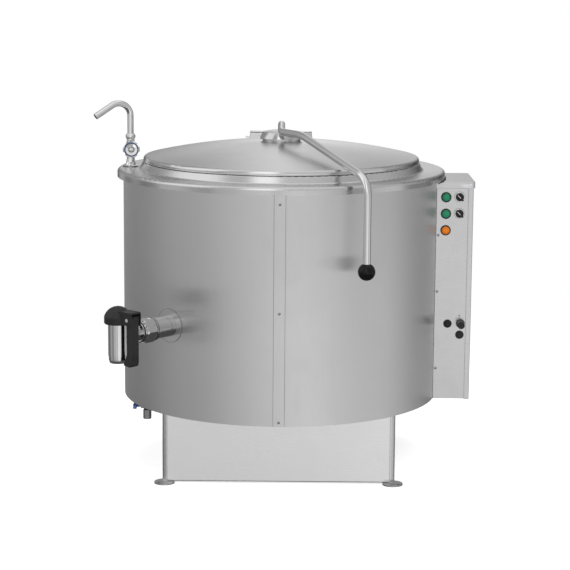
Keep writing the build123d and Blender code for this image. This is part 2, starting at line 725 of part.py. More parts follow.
def build_lid():
    outer = dome(lid_radius, lid_crown, lid_shoulder, lid_rim_bottom, lid_knuckle)
    inner = dome(lid_radius - lid_sheet, lid_crown - lid_sheet, lid_shoulder - lid_sheet, lid_rim_bottom,
                 lid_knuckle - lid_sheet)
    ring_bottom = lid_rim_bottom + 1.0
    rim_plate = tube((0, 0, ring_bottom), (0, 0, 1), lid_radius - lid_sheet / 2, gasket_inner_radius,
                     lid_sheet)
    parts["lid_shell"] = (outer - inner) + rim_plate
    gasket_bottom = deck_height + collar_height + gasket_gap
    parts["lid_gasket"] = tube((0, 0, gasket_bottom), (0, 0, 1), gasket_outer_radius, gasket_inner_radius,
                               ring_bottom - gasket_bottom)

    rim = lid_crown + hub_lift
    foot = lid_crown - 6
    side_top = (hub_top_radius + 1, hub_top - 4)
    profile = make_face(
        Polyline((0, hub_crown), (0, foot), (hub_neck_radius, foot), (hub_neck_radius, rim),
                 (hub_base_radius, rim), (hub_base_radius, rim + 2)).edges()
        + ThreePointArc((hub_base_radius, rim + 2), (hub_top_radius + 7, hub_top - 14), side_top).edges()
        + ThreePointArc(side_top, (hub_top_radius / 2, hub_crown - 1.5), (0, hub_crown)).edges())
    arm = arm_solid(arm_radius)
    parts["lid_hub"] = turned(profile) - outer - arm

    ball_centre = Vector(*arm_points[-1])
    bore_depth = ball_radius - ball_bore_depth
    bore = rod(ball_centre + Vector(0, 0, bore_depth), (0, 0, 1), arm_radius, ball_radius)
    parts["handle_ball"] = Pos(*ball_centre) * Sphere(ball_radius) - bore
    tube_arm = arm - arm_solid(arm_radius - arm_wall)
    below_ball_top = rod(ball_centre - Vector(0, 0, 60), (0, 0, 1), arm_radius + 10, 60 + bore_depth)
    shaft_line = (0, arm_points[0][1], arm_points[0][2])
    boss = rod((-hinge_boss_half, *shaft_line[1:]), (1, 0, 0), hinge_boss_radius, 2 * hinge_boss_half)
    shaft_bore = rod((-hinge_boss_half - 1, *shaft_line[1:]), (1, 0, 0), hinge_shaft_radius,
                     2 * hinge_boss_half + 2)
    parts["lid_arm"] = (tube_arm - below_ball_top) + boss - shaft_bore


# ---- lid hinge ----
def build_hinge():
    y, height = arm_points[0][1:]
    start = hinge_left - hinge_shaft_end
    shaft = rod((start, y, height), (1, 0, 0), hinge_shaft_radius, hinge_right + 2 - start)
    cap = rod((start, y, height), (1, 0, 0), hinge_shaft_radius - 2, 6)
    parts["hinge_shaft"] = fillet(shaft.edges().sort_by(Axis.X)[0], 2.0) + cap

    base_rear = sqrt((deck_radius - deck_edge_radius) ** 2 - hinge_left ** 2)
    inner_left = hinge_left + hinge_cover_sheet
    inner_right = hinge_right - hinge_cover_sheet
    front = hinge_front + hinge_cover_sheet
    rear = hinge_rear - hinge_cover_sheet
    bracket = box((inner_left, front, deck_height), (inner_right, base_rear, deck_height + hinge_plate))
    for x in (inner_left, inner_right - hinge_plate):
        bracket += box((x, front, deck_height + hinge_plate),
                       (x + hinge_plate, rear, hinge_top - hinge_cover_sheet))
    bore = rod((start, y, height), (1, 0, 0), hinge_shaft_radius + running_fit, hinge_right + 10 - start)
    parts["hinge_bracket"] = bracket - bore

    cover = box((hinge_left, hinge_front, deck_height + 1), (hinge_right, hinge_rear, hinge_top))
    top_edges = cover.faces().sort_by(Axis.Z)[-1].edges()
    cover = fillet(top_edges, hinge_cover_fold)
    cover -= box((inner_left, front, deck_height), (inner_right, rear, hinge_top - hinge_cover_sheet))
    deck_edge = tube((0, 0, 0), (0, 0, 1), 2 * deck_radius, deck_radius - deck_edge_radius, deck_height + 4)
    cover -= box((-hinge_slot_half, hinge_front - 1, height - 22),
                 (hinge_slot_half, y + arm_radius + 8, hinge_top + 1))
    parts["hinge_cover"] = cover - bore - deck_edge
    parts["balance_springs"] = balance_springs(y, height, inner_left + hinge_plate,
                                               inner_right - hinge_plate)


def balance_springs(y, height, left, right):
    """Two torsion springs round the shaft, one each side of the arm, with a leg down to the bracket."""
    coil_radius = hinge_shaft_radius + 2.5 + spring_wire_radius
    pitch = 2 * spring_wire_radius + 1.5
    springs = []
    for start in ((left - hinge_boss_half) / 2, (right + hinge_boss_half) / 2):
        first = start - pitch * (spring_coils - 1) / 2
        last = first + pitch * (spring_coils - 1)
        coils = [Pos(first + pitch * turn, y, height) * Rot(0, 90, 0)
                 * Torus(coil_radius, spring_wire_radius) for turn in range(spring_coils)]
        leg_top = height - coil_radius + spring_wire_radius
        bar = box((first, y - spring_wire_radius, leg_top - 2 * spring_wire_radius - 1),
                  (last, y + spring_wire_radius, leg_top - spring_wire_radius))
        foot = rod((start, y, deck_height + hinge_plate), (0, 0, 1), spring_wire_radius,
                   leg_top - spring_wire_radius - deck_height - hinge_plate)
        spring = bar + foot
        for coil in coils:
            spring += coil
        springs.append(spring)
    return Compound(springs)


# ---- water tap ----
def at_tap(part):
    """A part drawn round the Z axis with its wheel towards -Y, set on the deck."""
    return Pos(tap_x, tap_y, 0) * Rot(0, 0, tap_turn) * part


def build_tap():
    neck = tap_neck_top - deck_height
    profile = [(0, 0), (tap_flange_radius, 0), (tap_flange_radius, 3), (17, 5.5), (13.5, 13),
               (tap_body_radius, 24), (tap_body_radius, neck), (0, neck)]
    body = turned_along(profile, (0, 0, deck_height), (0, 0, 1))
    bonnet_start = tap_body_radius + 6
    body += rod((0, 0, tap_wheel_height), (0, -1, 0), tap_body_radius - 1, bonnet_start)
    body += hexagon((0, -bonnet_start, tap_wheel_height), (0, -1, 0), 19,
                    tap_bonnet_reach + 2 - bonnet_start)
    shank_bottom = deck_underside - feed_pipe_gap
    stem_radius = 4.0
    stem_seat = 8.0
    body -= rod((0, -stem_seat, tap_wheel_height), (0, -1, 0), stem_radius + running_fit, 60)
    socket_depth = 14.0
    body -= rod((0, 0, tap_neck_top - socket_depth), (0, 0, 1), spout_radius + running_fit, 60)
    parts["tap_body"] = at_tap(body + rod((0, 0, shank_bottom), (0, 0, 1), water_thread_radius,
                                          deck_height - shank_bottom))
    parts["tap_lock_nut"] = at_tap(hexagon((0, 0, deck_underside - 8), (0, 0, 1), 27, 8) - rod(
        (0, 0, deck_underside - 30), (0, 0, 1), water_thread_radius, 60))

    bore = spout_radius + running_fit
    parts["tap_swivel_nut"] = at_tap(turned_along(
        [(bore, 0), (tap_body_radius + 1, 0), (tap_nut_radius, 4), (tap_nut_radius, tap_nut_height - 5),
         (tap_nut_radius - 4, tap_nut_height), (bore, tap_nut_height)], (0, 0, tap_neck_top), (0, 0, 1)))

    heading = radians(spout_yaw)
    end = (tap_x + spout_reach * cos(heading), tap_y + spout_reach * sin(heading), spout_top - spout_drop)
    path = FilletPolyline((tap_x, tap_y, tap_neck_top - socket_depth + 1), (tap_x, tap_y, spout_top), end,
                          radius=spout_bend)
    start_plane = Plane(origin=path @ 0, z_dir=path % 0)
    parts["tap_spout"] = sweep(start_plane * Circle(spout_radius), path=path) - sweep(
        start_plane * Circle(spout_bore), path=path)
    build_tap_wheel(stem_radius, stem_seat + 1)
    build_water_inlet(shank_bottom)


def build_tap_wheel(stem_radius, stem_start):
    thickness = tap_wheel_thickness
    wheel_back = (0, thickness / 2 - tap_wheel_reach, tap_wheel_height)
    wheel = turned_along(
        [(0, 0), (tap_wheel_radius, 0), (tap_wheel_radius + 1.2, 2), (tap_wheel_radius + 1.2, 5),
         (tap_wheel_radius - 1, thickness), (tap_cap_radius + 3, thickness - 1.5),
         (tap_cap_radius, thickness), (tap_cap_radius - 1, thickness + 2.5), (0, thickness + 3.5)],
        wheel_back, (0, -1, 0))
    flute_radius = 9.0
    for flute in range(6):
        turn = radians(60 * flute + 30)
        reach = tap_wheel_radius + flute_radius - 1.8
        wheel -= rod((reach * cos(turn), 20 - tap_wheel_reach, tap_wheel_height + reach * sin(turn)),
                     (0, -1, 0), flute_radius, 40)
    stem = rod((0, -stem_start, tap_wheel_height), (0, -1, 0), stem_radius, tap_wheel_reach - stem_start)
    inner = tap_ring_radius - tap_ring_width
    ring = turned_along(
        [(inner, thickness - 2), (tap_ring_radius, thickness - 2), (tap_ring_radius, thickness + 1.6),
         (tap_ring_radius - 1, thickness + 2.2), (inner + 1, thickness + 2.2), (inner, thickness + 1.6)],
        wheel_back, (0, -1, 0))
    parts["tap_wheel"] = at_tap(wheel + stem - ring)
    parts["tap_index_ring"] = at_tap(ring)


def build_water_inlet(pipe_top):
    shoulder = water_inlet_bottom + water_thread_length
    inlet = rod((tap_x, tap_y, water_inlet_bottom), (0, 0, 1), water_thread_radius, water_thread_length)
    inlet += rod((tap_x, tap_y, shoulder), (0, 0, 1), water_shoulder_radius, casing_bottom - shoulder)
    inlet += rod((tap_x, tap_y, shoulder), (0, 0, 1), water_pipe_radius, pipe_top - shoulder)
    parts["water_feed_pipe"] = inlet


# ---- draw-off ----
def build_drain():
    inside = cup(vessel_radius, vessel_floor, vessel_knuckle)
    pipe = tube((0, 0, drain_height), outward, drain_pipe_radius, drain_pipe_radius - drain_pipe_wall,
                union_start)
    rib_radius = drain_pipe_radius + 4
    for place in (3.0, 1.5):
        rib_start = drain_point(0, union_start - place * drain_rib_width, drain_height)
        pipe += tube(rib_start, outward, rib_radius, drain_pipe_radius - 1, drain_rib_width)
    before = rod((0, 0, drain_height), outward, drain_pipe_radius + 1, vessel_radius * 0.9)
    parts["drain_pipe"] = pipe - inside - before

    plate = tube(drain_point(0, casing_radius - 30, drain_height), outward, escutcheon_radius,
                 drain_pipe_radius, 60)
    skin = tube((0, 0, 0), (0, 0, 1), casing_radius + escutcheon_thickness, casing_radius, deck_height)
    parts["drain_escutcheon"] = plate & skin

    collar = 6.0
    bore = drain_pipe_radius - drain_pipe_wall
    nut = hexagon(drain_point(0, union_start, drain_height), outward, union_across_flats,
                  union_length - collar)
    nut += rod(drain_point(0, union_end - collar, drain_height), outward, union_across_flats / 2 - 3, collar)
    parts["drain_union_nut"] = nut - rod(drain_point(0, 0, drain_height), outward, bore, union_end)
    parts["drain_valve_body"] = valve_body()
    parts["drain_hood"] = valve_hood()
    parts["drain_lever"] = valve_lever()
    parts["drain_plug"] = valve_plug()


def valve_body():
    neck_top = valve_bottom + valve_taper
    body = turned_along(
        [(0, valve_bottom), (valve_radius - 4, valve_bottom), (valve_radius - 1.5, valve_bottom + 8),
         (valve_radius - 1, neck_top), (valve_radius, neck_top), (valve_radius, valve_top), (0, valve_top)],
        drain_point(0, valve_reach, 0), (0, 0, 1))
    branch = drain_point(0, union_end, drain_height)
    body += rod(branch, outward, valve_branch_radius, valve_reach - union_end)
    body += rod(branch, outward, valve_branch_radius + 5, 8)
    body -= rod(drain_point(0, valve_reach, valve_bottom), (0, 0, 1), valve_outlet_bore,
                valve_top - valve_bottom)
    body -= rod(drain_point(0, valve_reach, valve_top - plug_cock_length), (0, 0, 1),
                plug_cock_radius + running_fit, plug_cock_length)
    return body - rod(branch, outward, valve_port_radius, valve_reach - union_end)


def valve_plug():
    """The turning plug: a port in its side leads down to the outlet; shut, the port faces the body wall."""
    plug = rod(drain_point(0, valve_reach, valve_top - plug_cock_length + 0.2), (0, 0, 1), plug_cock_radius,
               plug_cock_length - 0.2)
    port_floor = drain_height + valve_port_radius
    plug -= rod(drain_point(0, valve_reach, valve_bottom), (0, 0, 1), valve_port_radius,
                port_floor - valve_bottom)
    plug -= rod(drain_point(0, valve_reach, drain_height), drain_point(-1, 0, 0), valve_port_radius,
                plug_cock_radius + 1)
    half = plug_stem_width / 2
    stem = box((-half, -valve_reach - half, valve_top - 1),
               (half, -valve_reach + half, hood_top - 2 * hood_wall))
    return plug + drain_place(stem)


def valve_hood():
    """The turning head of the cock: a round cap over the plug's stem, with two ears for the lever."""
    rim = valve_top + body_gap
    profile = make_face(
        Polyline((0, hood_top), (0, rim), (hood_radius - 2, rim), (hood_radius, rim + 3),
                 (hood_radius, rim + hood_skirt)).edges()
        + crown_arc(hood_radius, hood_top, rim + hood_skirt).edges())
    cap = Pos(0, -valve_reach, 0) * turned(profile)
    half = lever_width / 2 + hood_cheek
    bevel = 4.0
    ear = make_face(Polyline(
        (0, hood_ear_bottom), (hood_ear_reach - bevel, hood_ear_bottom),
        (hood_ear_reach, hood_ear_bottom + bevel), (hood_ear_reach, hood_ear_top - bevel),
        (hood_ear_reach - bevel, hood_ear_top), (0, hood_ear_top), close=True))
    hood = cap + Pos(0, half - valve_reach, 0) * extrude(Plane.XZ * ear, 2 * half)
    stem_half = plug_stem_width / 2
    stem_socket = box((-stem_half, -valve_reach - stem_half, rim - 1),
                      (stem_half, -valve_reach + stem_half, hood_top - 2 * hood_wall))
    slot_half = lever_width / 2 + body_gap
    slot = box((lever_pivot_reach - lever_head_radius - 1, -valve_reach - slot_half, rim - 1),
               (hood_ear_reach + 10, -valve_reach + slot_half, hood_ear_top - hood_wall))
    pin = rod((lever_pivot_reach, -valve_reach - 40, lever_pivot_height), (0, 1, 0), lever_pin_radius, 80)
    return drain_place(hood - stem_socket - slot - pin)


def valve_lever():
    """The grip folds down beside the valve, where it bars the cock, and swings up to turn it."""
    half = lever_width / 2
    waist = lever_bottom + 34
    profile = make_face(Polyline(
        (lever_inner, lever_pivot_height - 4), (lever_inner + 1.5, waist), (lever_toe, lever_bottom + 8),
        (lever_toe + 1, lever_bottom + 3), (lever_outer - 9, lever_bottom),
        (lever_outer - 5, lever_bottom + 6), (lever_outer, waist), (lever_outer - 1, lever_pivot_height - 2),
        close=True))
    profile = fillet([corner(profile, lever_inner + 1.5, waist), corner(profile, lever_outer, waist)], 40.0)
    grip = Pos(0, -valve_reach + half, 0) * extrude(Plane.XZ * profile, lever_width)
    bevel = 3.5
    plan = make_face(Polyline(
        (lever_toe - 5, -half), (lever_outer - bevel, -half), (lever_outer, bevel - half),
        (lever_outer, half - bevel), (lever_outer - bevel, half), (lever_toe - 5, half), close=True))
    grip &= Pos(0, -valve_reach, 0) * extrude(plan, hood_top)
    head = rod((lever_pivot_reach, -valve_reach - half, lever_pivot_height), (0, 1, 0), lever_head_radius,
               lever_width)
    bore = rod((lever_pivot_reach, -valve_reach - 40, lever_pivot_height), (0, 1, 0),
               lever_pin_radius + running_fit, 80)
    pin_reach = half + hood_cheek + 1.0
    parts["lever_pin"] = drain_place(rod(
        (lever_pivot_reach, -valve_reach - pin_reach, lever_pivot_height), (0, 1, 0), lever_pin_radius,
        2 * pin_reach))
    return drain_place(grip + head - bore)


# ---- jacket level cock ----
def build_cock():
    axis = (cock_x, cock_y)
    nozzle_bottom = cock_height - cock_nozzle_length
    share = cock_pipe_inner_share
    run = FilletPolyline((*axis, cock_height), (*axis, cock_pipe_turn),
                         (cock_x * share, cock_y * share, cock_pipe_turn),
                         (cock_x * share, cock_y * share, jacket_floor), radius=18)
    body = sweep(Plane(origin=run @ 0, z_dir=run % 0) * Circle(cock_pipe_radius), path=run)
    body += Pos(*axis, cock_height) * Sphere(cock_body_radius)
    body += hexagon((*axis, nozzle_bottom), (0, 0, 1), 2 * cock_nozzle_radius,
                    cock_height - cock_body_radius + 3 - nozzle_bottom)
    body -= rod((*axis, nozzle_bottom), (0, 0, 1), cock_nozzle_radius - 4, 20)
    stem_radius = 3.5
    body += rod((*axis, cock_height), (-1, 0, 0), 7.0, cock_body_radius + 5)
    body -= rod((cock_x - 6, cock_y, cock_height), (-1, 0, 0), stem_radius + running_fit, 40)
    parts["level_cock"] = body

    wing = round_box((-7, -cock_handle_half, -5), (7, cock_handle_half, 5), 4.5)
    wing = Plane(origin=(cock_x - cock_handle_reach, cock_y, cock_height), x_dir=(0, 0, 1),
                 z_dir=(-1, 0, 0)) * wing
    stem = rod((cock_x - 7, cock_y, cock_height), (-1, 0, 0), stem_radius, cock_handle_reach - 7)
    parts["cock_handle"] = wing + stem


build_plinth()
build_casing()
build_vessel()
build_heating()
build_column()
build_devices()
build_lid()
build_hinge()
build_tap()
build_drain()
build_cock()

os.makedirs("parts", exist_ok=True)
for node, shape in parts.items():
    shape.label = node
    export_step(shape, f"parts/{node}.step")
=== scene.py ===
import math

import bmesh
import bpy
from mathutils import Matrix, Vector


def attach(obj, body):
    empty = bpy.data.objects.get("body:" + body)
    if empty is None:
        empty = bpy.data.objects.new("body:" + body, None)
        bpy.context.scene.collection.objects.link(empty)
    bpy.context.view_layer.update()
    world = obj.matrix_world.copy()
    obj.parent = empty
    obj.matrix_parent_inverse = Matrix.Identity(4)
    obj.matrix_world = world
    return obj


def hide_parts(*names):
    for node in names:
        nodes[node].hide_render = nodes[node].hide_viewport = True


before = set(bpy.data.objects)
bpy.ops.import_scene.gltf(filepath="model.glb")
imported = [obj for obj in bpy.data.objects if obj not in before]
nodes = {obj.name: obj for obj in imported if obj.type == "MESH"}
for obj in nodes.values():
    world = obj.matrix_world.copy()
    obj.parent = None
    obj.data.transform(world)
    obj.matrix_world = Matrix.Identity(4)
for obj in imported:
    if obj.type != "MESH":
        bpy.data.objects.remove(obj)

# ---- where things lie, in metres and radians ----
TAP = (-0.460, 0.008)
TAP_HEADING = math.radians(8)
SPOUT_HEADING = math.radians(205)
DRAIN_HEADING = math.radians(-41.7)
DRAIN_HEIGHT = 0.477
VALVE = (-0.454351, -0.509954)
COLUMN_FACE = -0.110
SELECTOR_X = 0.5365
SELECTOR_HEIGHTS = (("upper", 0.828), ("lower", 0.778))
LAMP_X = 0.496
CASING_RADIUS = 0.480
RIGHT, BACK, UP = Vector((1, 0, 0)), Vector((0, 1, 0)), Vector((0, 0, 1))


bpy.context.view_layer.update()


# ---- camera, at the photograph's place ----
def place_camera():
    yaw, pitch, roll = -0.0033, 0.1735, 0.0075
    focal_length, picture_width, sensor_width = 1893.47, 570, 36.0
    forward = Vector((math.sin(yaw) * math.cos(pitch), math.cos(yaw) * math.cos(pitch), -math.sin(pitch)))
    right = forward.cross(UP).normalized()
    up = right.cross(forward)
    rolled_right = math.cos(roll) * right + math.sin(roll) * up
    rolled_up = -math.sin(roll) * right + math.cos(roll) * up
    data = bpy.data.cameras.new("camera")
    data.sensor_fit = "HORIZONTAL"
    data.sensor_width = sensor_width
    data.lens = focal_length / picture_width * sensor_width
    data.clip_start = 0.1
    data.clip_end = 60.0
    camera = bpy.data.objects.new("camera", data)
    bpy.context.scene.collection.objects.link(camera)
    turn = Matrix((rolled_right, rolled_up, -forward)).transposed().to_4x4()
    camera.matrix_world = Matrix.Translation((0.03296, -5.750, 1.5443)) @ turn
    bpy.context.scene.camera = camera


# ---- shader helpers ----
class Shader:
    """A node tree with short calls for the nodes that the materials share."""

    def __init__(self, tree):
        self.tree = tree
        tree.nodes.clear()

    def node(self, kind, **values):
        node = self.tree.nodes.new(kind)
        for name, value in values.items():
            setattr(node, name, value)
        return node

    def link(self, out, into):
        self.tree.links.new(out, into)

    def math(self, operation, first, second=None):
        node = self.node("ShaderNodeMath", operation=operation)
        for socket, value in zip(node.inputs, (first, second)):
            if value is None:
                continue
            if isinstance(value, (int, float)):
                socket.default_value = value
            else:
                self.link(value, socket)
        return node.outputs[0]

    def distance(self, x, y):
        return self.math("SQRT", self.math("ADD", self.math("MULTIPLY", x, x), self.math("MULTIPLY", y, y)))

    def place(self):
        return self.node("ShaderNodeTexCoord").outputs["Object"]

    def parts(self, vector):
        split = self.node("ShaderNodeSeparateXYZ")
        self.link(vector, split.inputs[0])
        return split.outputs

    def vector(self, x, y, z):
        join = self.node("ShaderNodeCombineXYZ")
        for socket, value in zip(join.inputs, (x, y, z)):
            if isinstance(value, (int, float)):
                socket.default_value = value
            else:
                self.link(value, socket)
        return join.outputs[0]

    def noise(self, vector, scale, detail=2.0, rough=0.5, distortion=0.0):
        node = self.node("ShaderNodeTexNoise")
        node.inputs["Scale"].default_value = scale
        node.inputs["Detail"].default_value = detail
        node.inputs["Roughness"].default_value = rough
        node.inputs["Distortion"].default_value = distortion
        self.link(vector, node.inputs["Vector"])
        return node.outputs["Fac"]

    def spread(self, value, low, high, out_low, out_high):
        node = self.node("ShaderNodeMapRange")
        self.link(value, node.inputs["Value"])
        for name, number in (("From Min", low), ("From Max", high),
                             ("To Min", out_low), ("To Max", out_high)):
            node.inputs[name].default_value = number
        return node.outputs[0]

    def ramp(self, value, stops):
        node = self.node("ShaderNodeValToRGB")
        ramp = node.color_ramp
        while len(ramp.elements) > 1:
            ramp.elements.remove(ramp.elements[-1])
        ramp.elements[0].position = stops[0][0]
        ramp.elements[0].color = colour(stops[0][1])
        for position, tint in stops[1:]:
            ramp.elements.new(position).color = colour(tint)
        self.link(value, node.inputs[0])
        return node.outputs[0]

    def bump(self, height, strength, distance):
        node = self.node("ShaderNodeBump")
        node.inputs["Strength"].default_value = strength
        node.inputs["Distance"].default_value = distance
        self.link(height, node.inputs["Height"])
        return node.outputs[0]

    def tinted(self, tint, shade, surface):
        """A base colour made lighter or darker by a value round 1."""
        mix = self.node("ShaderNodeMix", data_type="RGBA", blend_type="MULTIPLY")
        mix.inputs[0].default_value = 1.0
        mix.inputs[6].default_value = colour(tint)
        self.link(self.vector(shade, shade, shade), mix.inputs[7])
        self.link(mix.outputs[2], surface.inputs["Base Color"])


def colour(value):
    """A grey level or a colour of three parts, with full alpha."""
    if isinstance(value, (int, float)):
        return (value, value, value, 1.0)
    return (*value, 1.0)


def new_material(name):
    """A material, its shader and its surface, which is wired to the output."""
    material = bpy.data.materials.new(name)
    material.use_nodes = True
    shader = Shader(material.node_tree)
    surface = shader.node("ShaderNodeBsdfPrincipled")
    output = shader.node("ShaderNodeOutputMaterial")
    shader.link(surface.outputs[0], output.inputs["Surface"])
    return material, shader, surface


def around(shader, along, across, rise=None):
    """Coordinates round the kettle's axis: a scale for the turn, one for the radius, one for the height."""
    px, py, pz = shader.parts(shader.place())
    turn = shader.math("ARCTAN2", py, px)
    return shader.vector(shader.math("MULTIPLY", turn, along),
                         shader.math("MULTIPLY", shader.distance(px, py), across),
                         shader.math("MULTIPLY", pz, across if rise is None else rise))


def stretched(shader, x, y, z):
    """Coordinates with a scale of their own along each axis."""
    px, py, pz = shader.parts(shader.place())
    return shader.vector(shader.math("MULTIPLY", px, x), shader.math("MULTIPLY", py, y),
                         shader.math("MULTIPLY", pz, z))


def edge_wear(shader, low, high):
    """0 on open faces, 1 on exposed edges."""
    point = shader.node("ShaderNodeNewGeometry").outputs["Pointiness"]
    return shader.spread(point, low, high, 0.0, 1.0)


def steel(name, tint, roughness, grain="round", anisotropic=0.0, rotation=0.0, depth=0.00004, cloud=0.02,
          streak=0.015):
    """Brushed or polished stainless steel: fine grain lines, soft clouding and handling marks."""
    material, shader, surface = new_material(name)
    if grain == "round":
        lines = around(shader, 2.2, 420.0)
        fine = around(shader, 6.0, 1900.0)
    elif grain == "barrel":
        lines = around(shader, 190.0, 1.0, 1.6)
        fine = around(shader, 900.0, 1.0, 5.0)
    elif grain == "across":
        lines = stretched(shader, 3.0, 3.0, 420.0)
        fine = stretched(shader, 9.0, 9.0, 1900.0)
    elif grain == "up":
        lines = stretched(shader, 420.0, 420.0, 3.0)
        fine = stretched(shader, 1900.0, 1900.0, 9.0)
    else:
        lines = stretched(shader, 60.0, 60.0, 60.0)
        fine = stretched(shader, 300.0, 300.0, 300.0)
    coarse_grain = shader.noise(lines, 1.0, 3.0, 0.6)
    fine_grain = shader.noise(fine, 1.0, 2.0, 0.6)
    clouds = shader.noise(shader.place(), 2.6, 4.0, 0.55, 0.4)
    marks = shader.noise(shader.place(), 17.0, 5.0, 0.62, 0.8)
    shade = shader.math("ADD", shader.spread(coarse_grain, 0.3, 0.7, 1 - streak, 1 + streak),
                        shader.spread(clouds, 0.3, 0.7, -cloud, cloud))
    shader.tinted(tint, shade, surface)
    rough = shader.math("ADD", shader.spread(fine_grain, 0.3, 0.7, roughness - 0.02, roughness + 0.02),
                        shader.math("ADD", shader.spread(marks, 0.45, 0.8, 0.0, 0.03),
                                    shader.spread(clouds, 0.35, 0.65, -0.015, 0.015)))
    shader.link(rough, surface.inputs["Roughness"])
    surface.inputs["Metallic"].default_value = 1.0
    surface.inputs["Anisotropic"].default_value = anisotropic
    surface.inputs["Anisotropic Rotation"].default_value = rotation
    if anisotropic:
        tangent = shader.node("ShaderNodeTangent", direction_type="RADIAL", axis="Z")
        shader.link(tangent.outputs[0], surface.inputs["Tangent"])
    shader.link(shader.bump(fine_grain, 0.08, depth), surface.inputs["Normal"])
    return material


def plastic(name, tint, roughness, texture=900.0, depth=0.00008, coat=0.0, wear=0.35, gloss=0.5):
    """Moulded plastic: a fine eroded skin, soft clouding and paler edges."""
    material, shader, surface = new_material(name)
    skin = shader.noise(shader.place(), texture, 3.0, 0.6)
    clouds = shader.noise(shader.place(), 22.0, 4.0, 0.6)
    worn = edge_wear(shader, 0.52, 0.62)
    shade = shader.math("ADD", shader.spread(clouds, 0.3, 0.7, 0.86, 1.14),
                        shader.math("MULTIPLY", worn, wear))
    shader.tinted(tint, shade, surface)
    rough = shader.math("ADD", shader.spread(skin, 0.3, 0.7, roughness - 0.05, roughness + 0.06),
                        shader.spread(clouds, 0.3, 0.7, -0.03, 0.04))
    shader.link(rough, surface.inputs["Roughness"])
    surface.inputs["Specular IOR Level"].default_value = gloss
    surface.inputs["Coat Weight"].default_value = coat
    surface.inputs["Coat Roughness"].default_value = 0.08
    shader.link(shader.bump(skin, 0.4, depth), surface.inputs["Normal"])
    return material


def lens(name, tint, heights):
    """A moulded lamp lens: a glossy face over fine rings and cross ribs that scatter the lamp, coloured
    lighter in the middle as a painted glow.
    """
    ring_pitch, rib_pitch, lens_radius = 0.0016, 0.0017, 0.0105
    material, shader, surface = new_material(name)
    px, _, pz = shader.parts(shader.place())
    across = shader.math("SUBTRACT", px, LAMP_X)
    nearest = None
    for height in heights:
        radius = shader.distance(across, shader.math("SUBTRACT", pz, height))
        nearest = radius if nearest is None else shader.math("MINIMUM", nearest, radius)
    rings = shader.math("SINE", shader.math("MULTIPLY", nearest, 2 * math.pi / ring_pitch))
    ribs = shader.math("MULTIPLY", shader.math("SINE", shader.math("MULTIPLY", px, 2 * math.pi / rib_pitch)),
                       shader.math("SINE", shader.math("MULTIPLY", pz, 2 * math.pi / rib_pitch)))
    pattern = shader.math("ADD", shader.math("MULTIPLY", rings, 0.4), shader.math("MULTIPLY", ribs, 0.6))
    # Painted glow: the lens colour is lighter in the middle and darker towards its rim, as if lit from
    # behind.
    glow = shader.spread(nearest, 0.0, lens_radius, 1.05, 0.82)
    speckle = shader.spread(pattern, -1.0, 1.0, 0.90, 1.10)
    shade = shader.math("MULTIPLY", glow, speckle)
    shader.tinted(tint, shade, surface)
    surface.inputs["Roughness"].default_value = 0.16
    surface.inputs["Specular IOR Level"].default_value = 0.25
    surface.inputs["Coat Weight"].default_value = 0.15
    surface.inputs["Coat Roughness"].default_value = 0.05
    shader.link(shader.bump(pattern, 0.35, 0.0002), surface.inputs["Normal"])
    return material


def wool(name, tint):
    """Mineral wool: matted fibres in layers."""
    material, shader, surface = new_material(name)
    layers = shader.noise(around(shader, 30.0, 160.0), 1.0, 4.0, 0.6, 0.6)
    fibres = shader.noise(shader.place(), 700.0, 4.0, 0.7)
    both = shader.math("ADD", shader.math("MULTIPLY", layers, 0.6), shader.math("MULTIPLY", fibres, 0.4))
    dark = [part * 0.6 for part in tint]
    shader.link(shader.ramp(both, [(0.25, dark), (0.7, tint)]), surface.inputs["Base Color"])
    surface.inputs["Roughness"].default_value = 0.95
    shader.link(shader.bump(both, 0.9, 0.003), surface.inputs["Normal"])
    return material


def cast(name, tint, roughness):
    """Sand cast metal: a pitted, uneven dark skin."""
    material, shader, surface = new_material(name)
    pits = shader.noise(shader.place(), 260.0, 4.0, 0.65)
    blotches = shader.noise(shader.place(), 30.0, 4.0, 0.6)
    dark = [part * 0.55 for part in tint]
    shader.link(shader.ramp(blotches, [(0.3, dark), (0.7, tint)]), surface.inputs["Base Color"])
    surface.inputs["Metallic"].default_value = 0.6
    rough = shader.spread(pits, 0.3, 0.7, roughness - 0.1, roughness + 0.12)
    shader.link(rough, surface.inputs["Roughness"])
    shader.link(shader.bump(pits, 0.6, 0.0006), surface.inputs["Normal"])
    return material


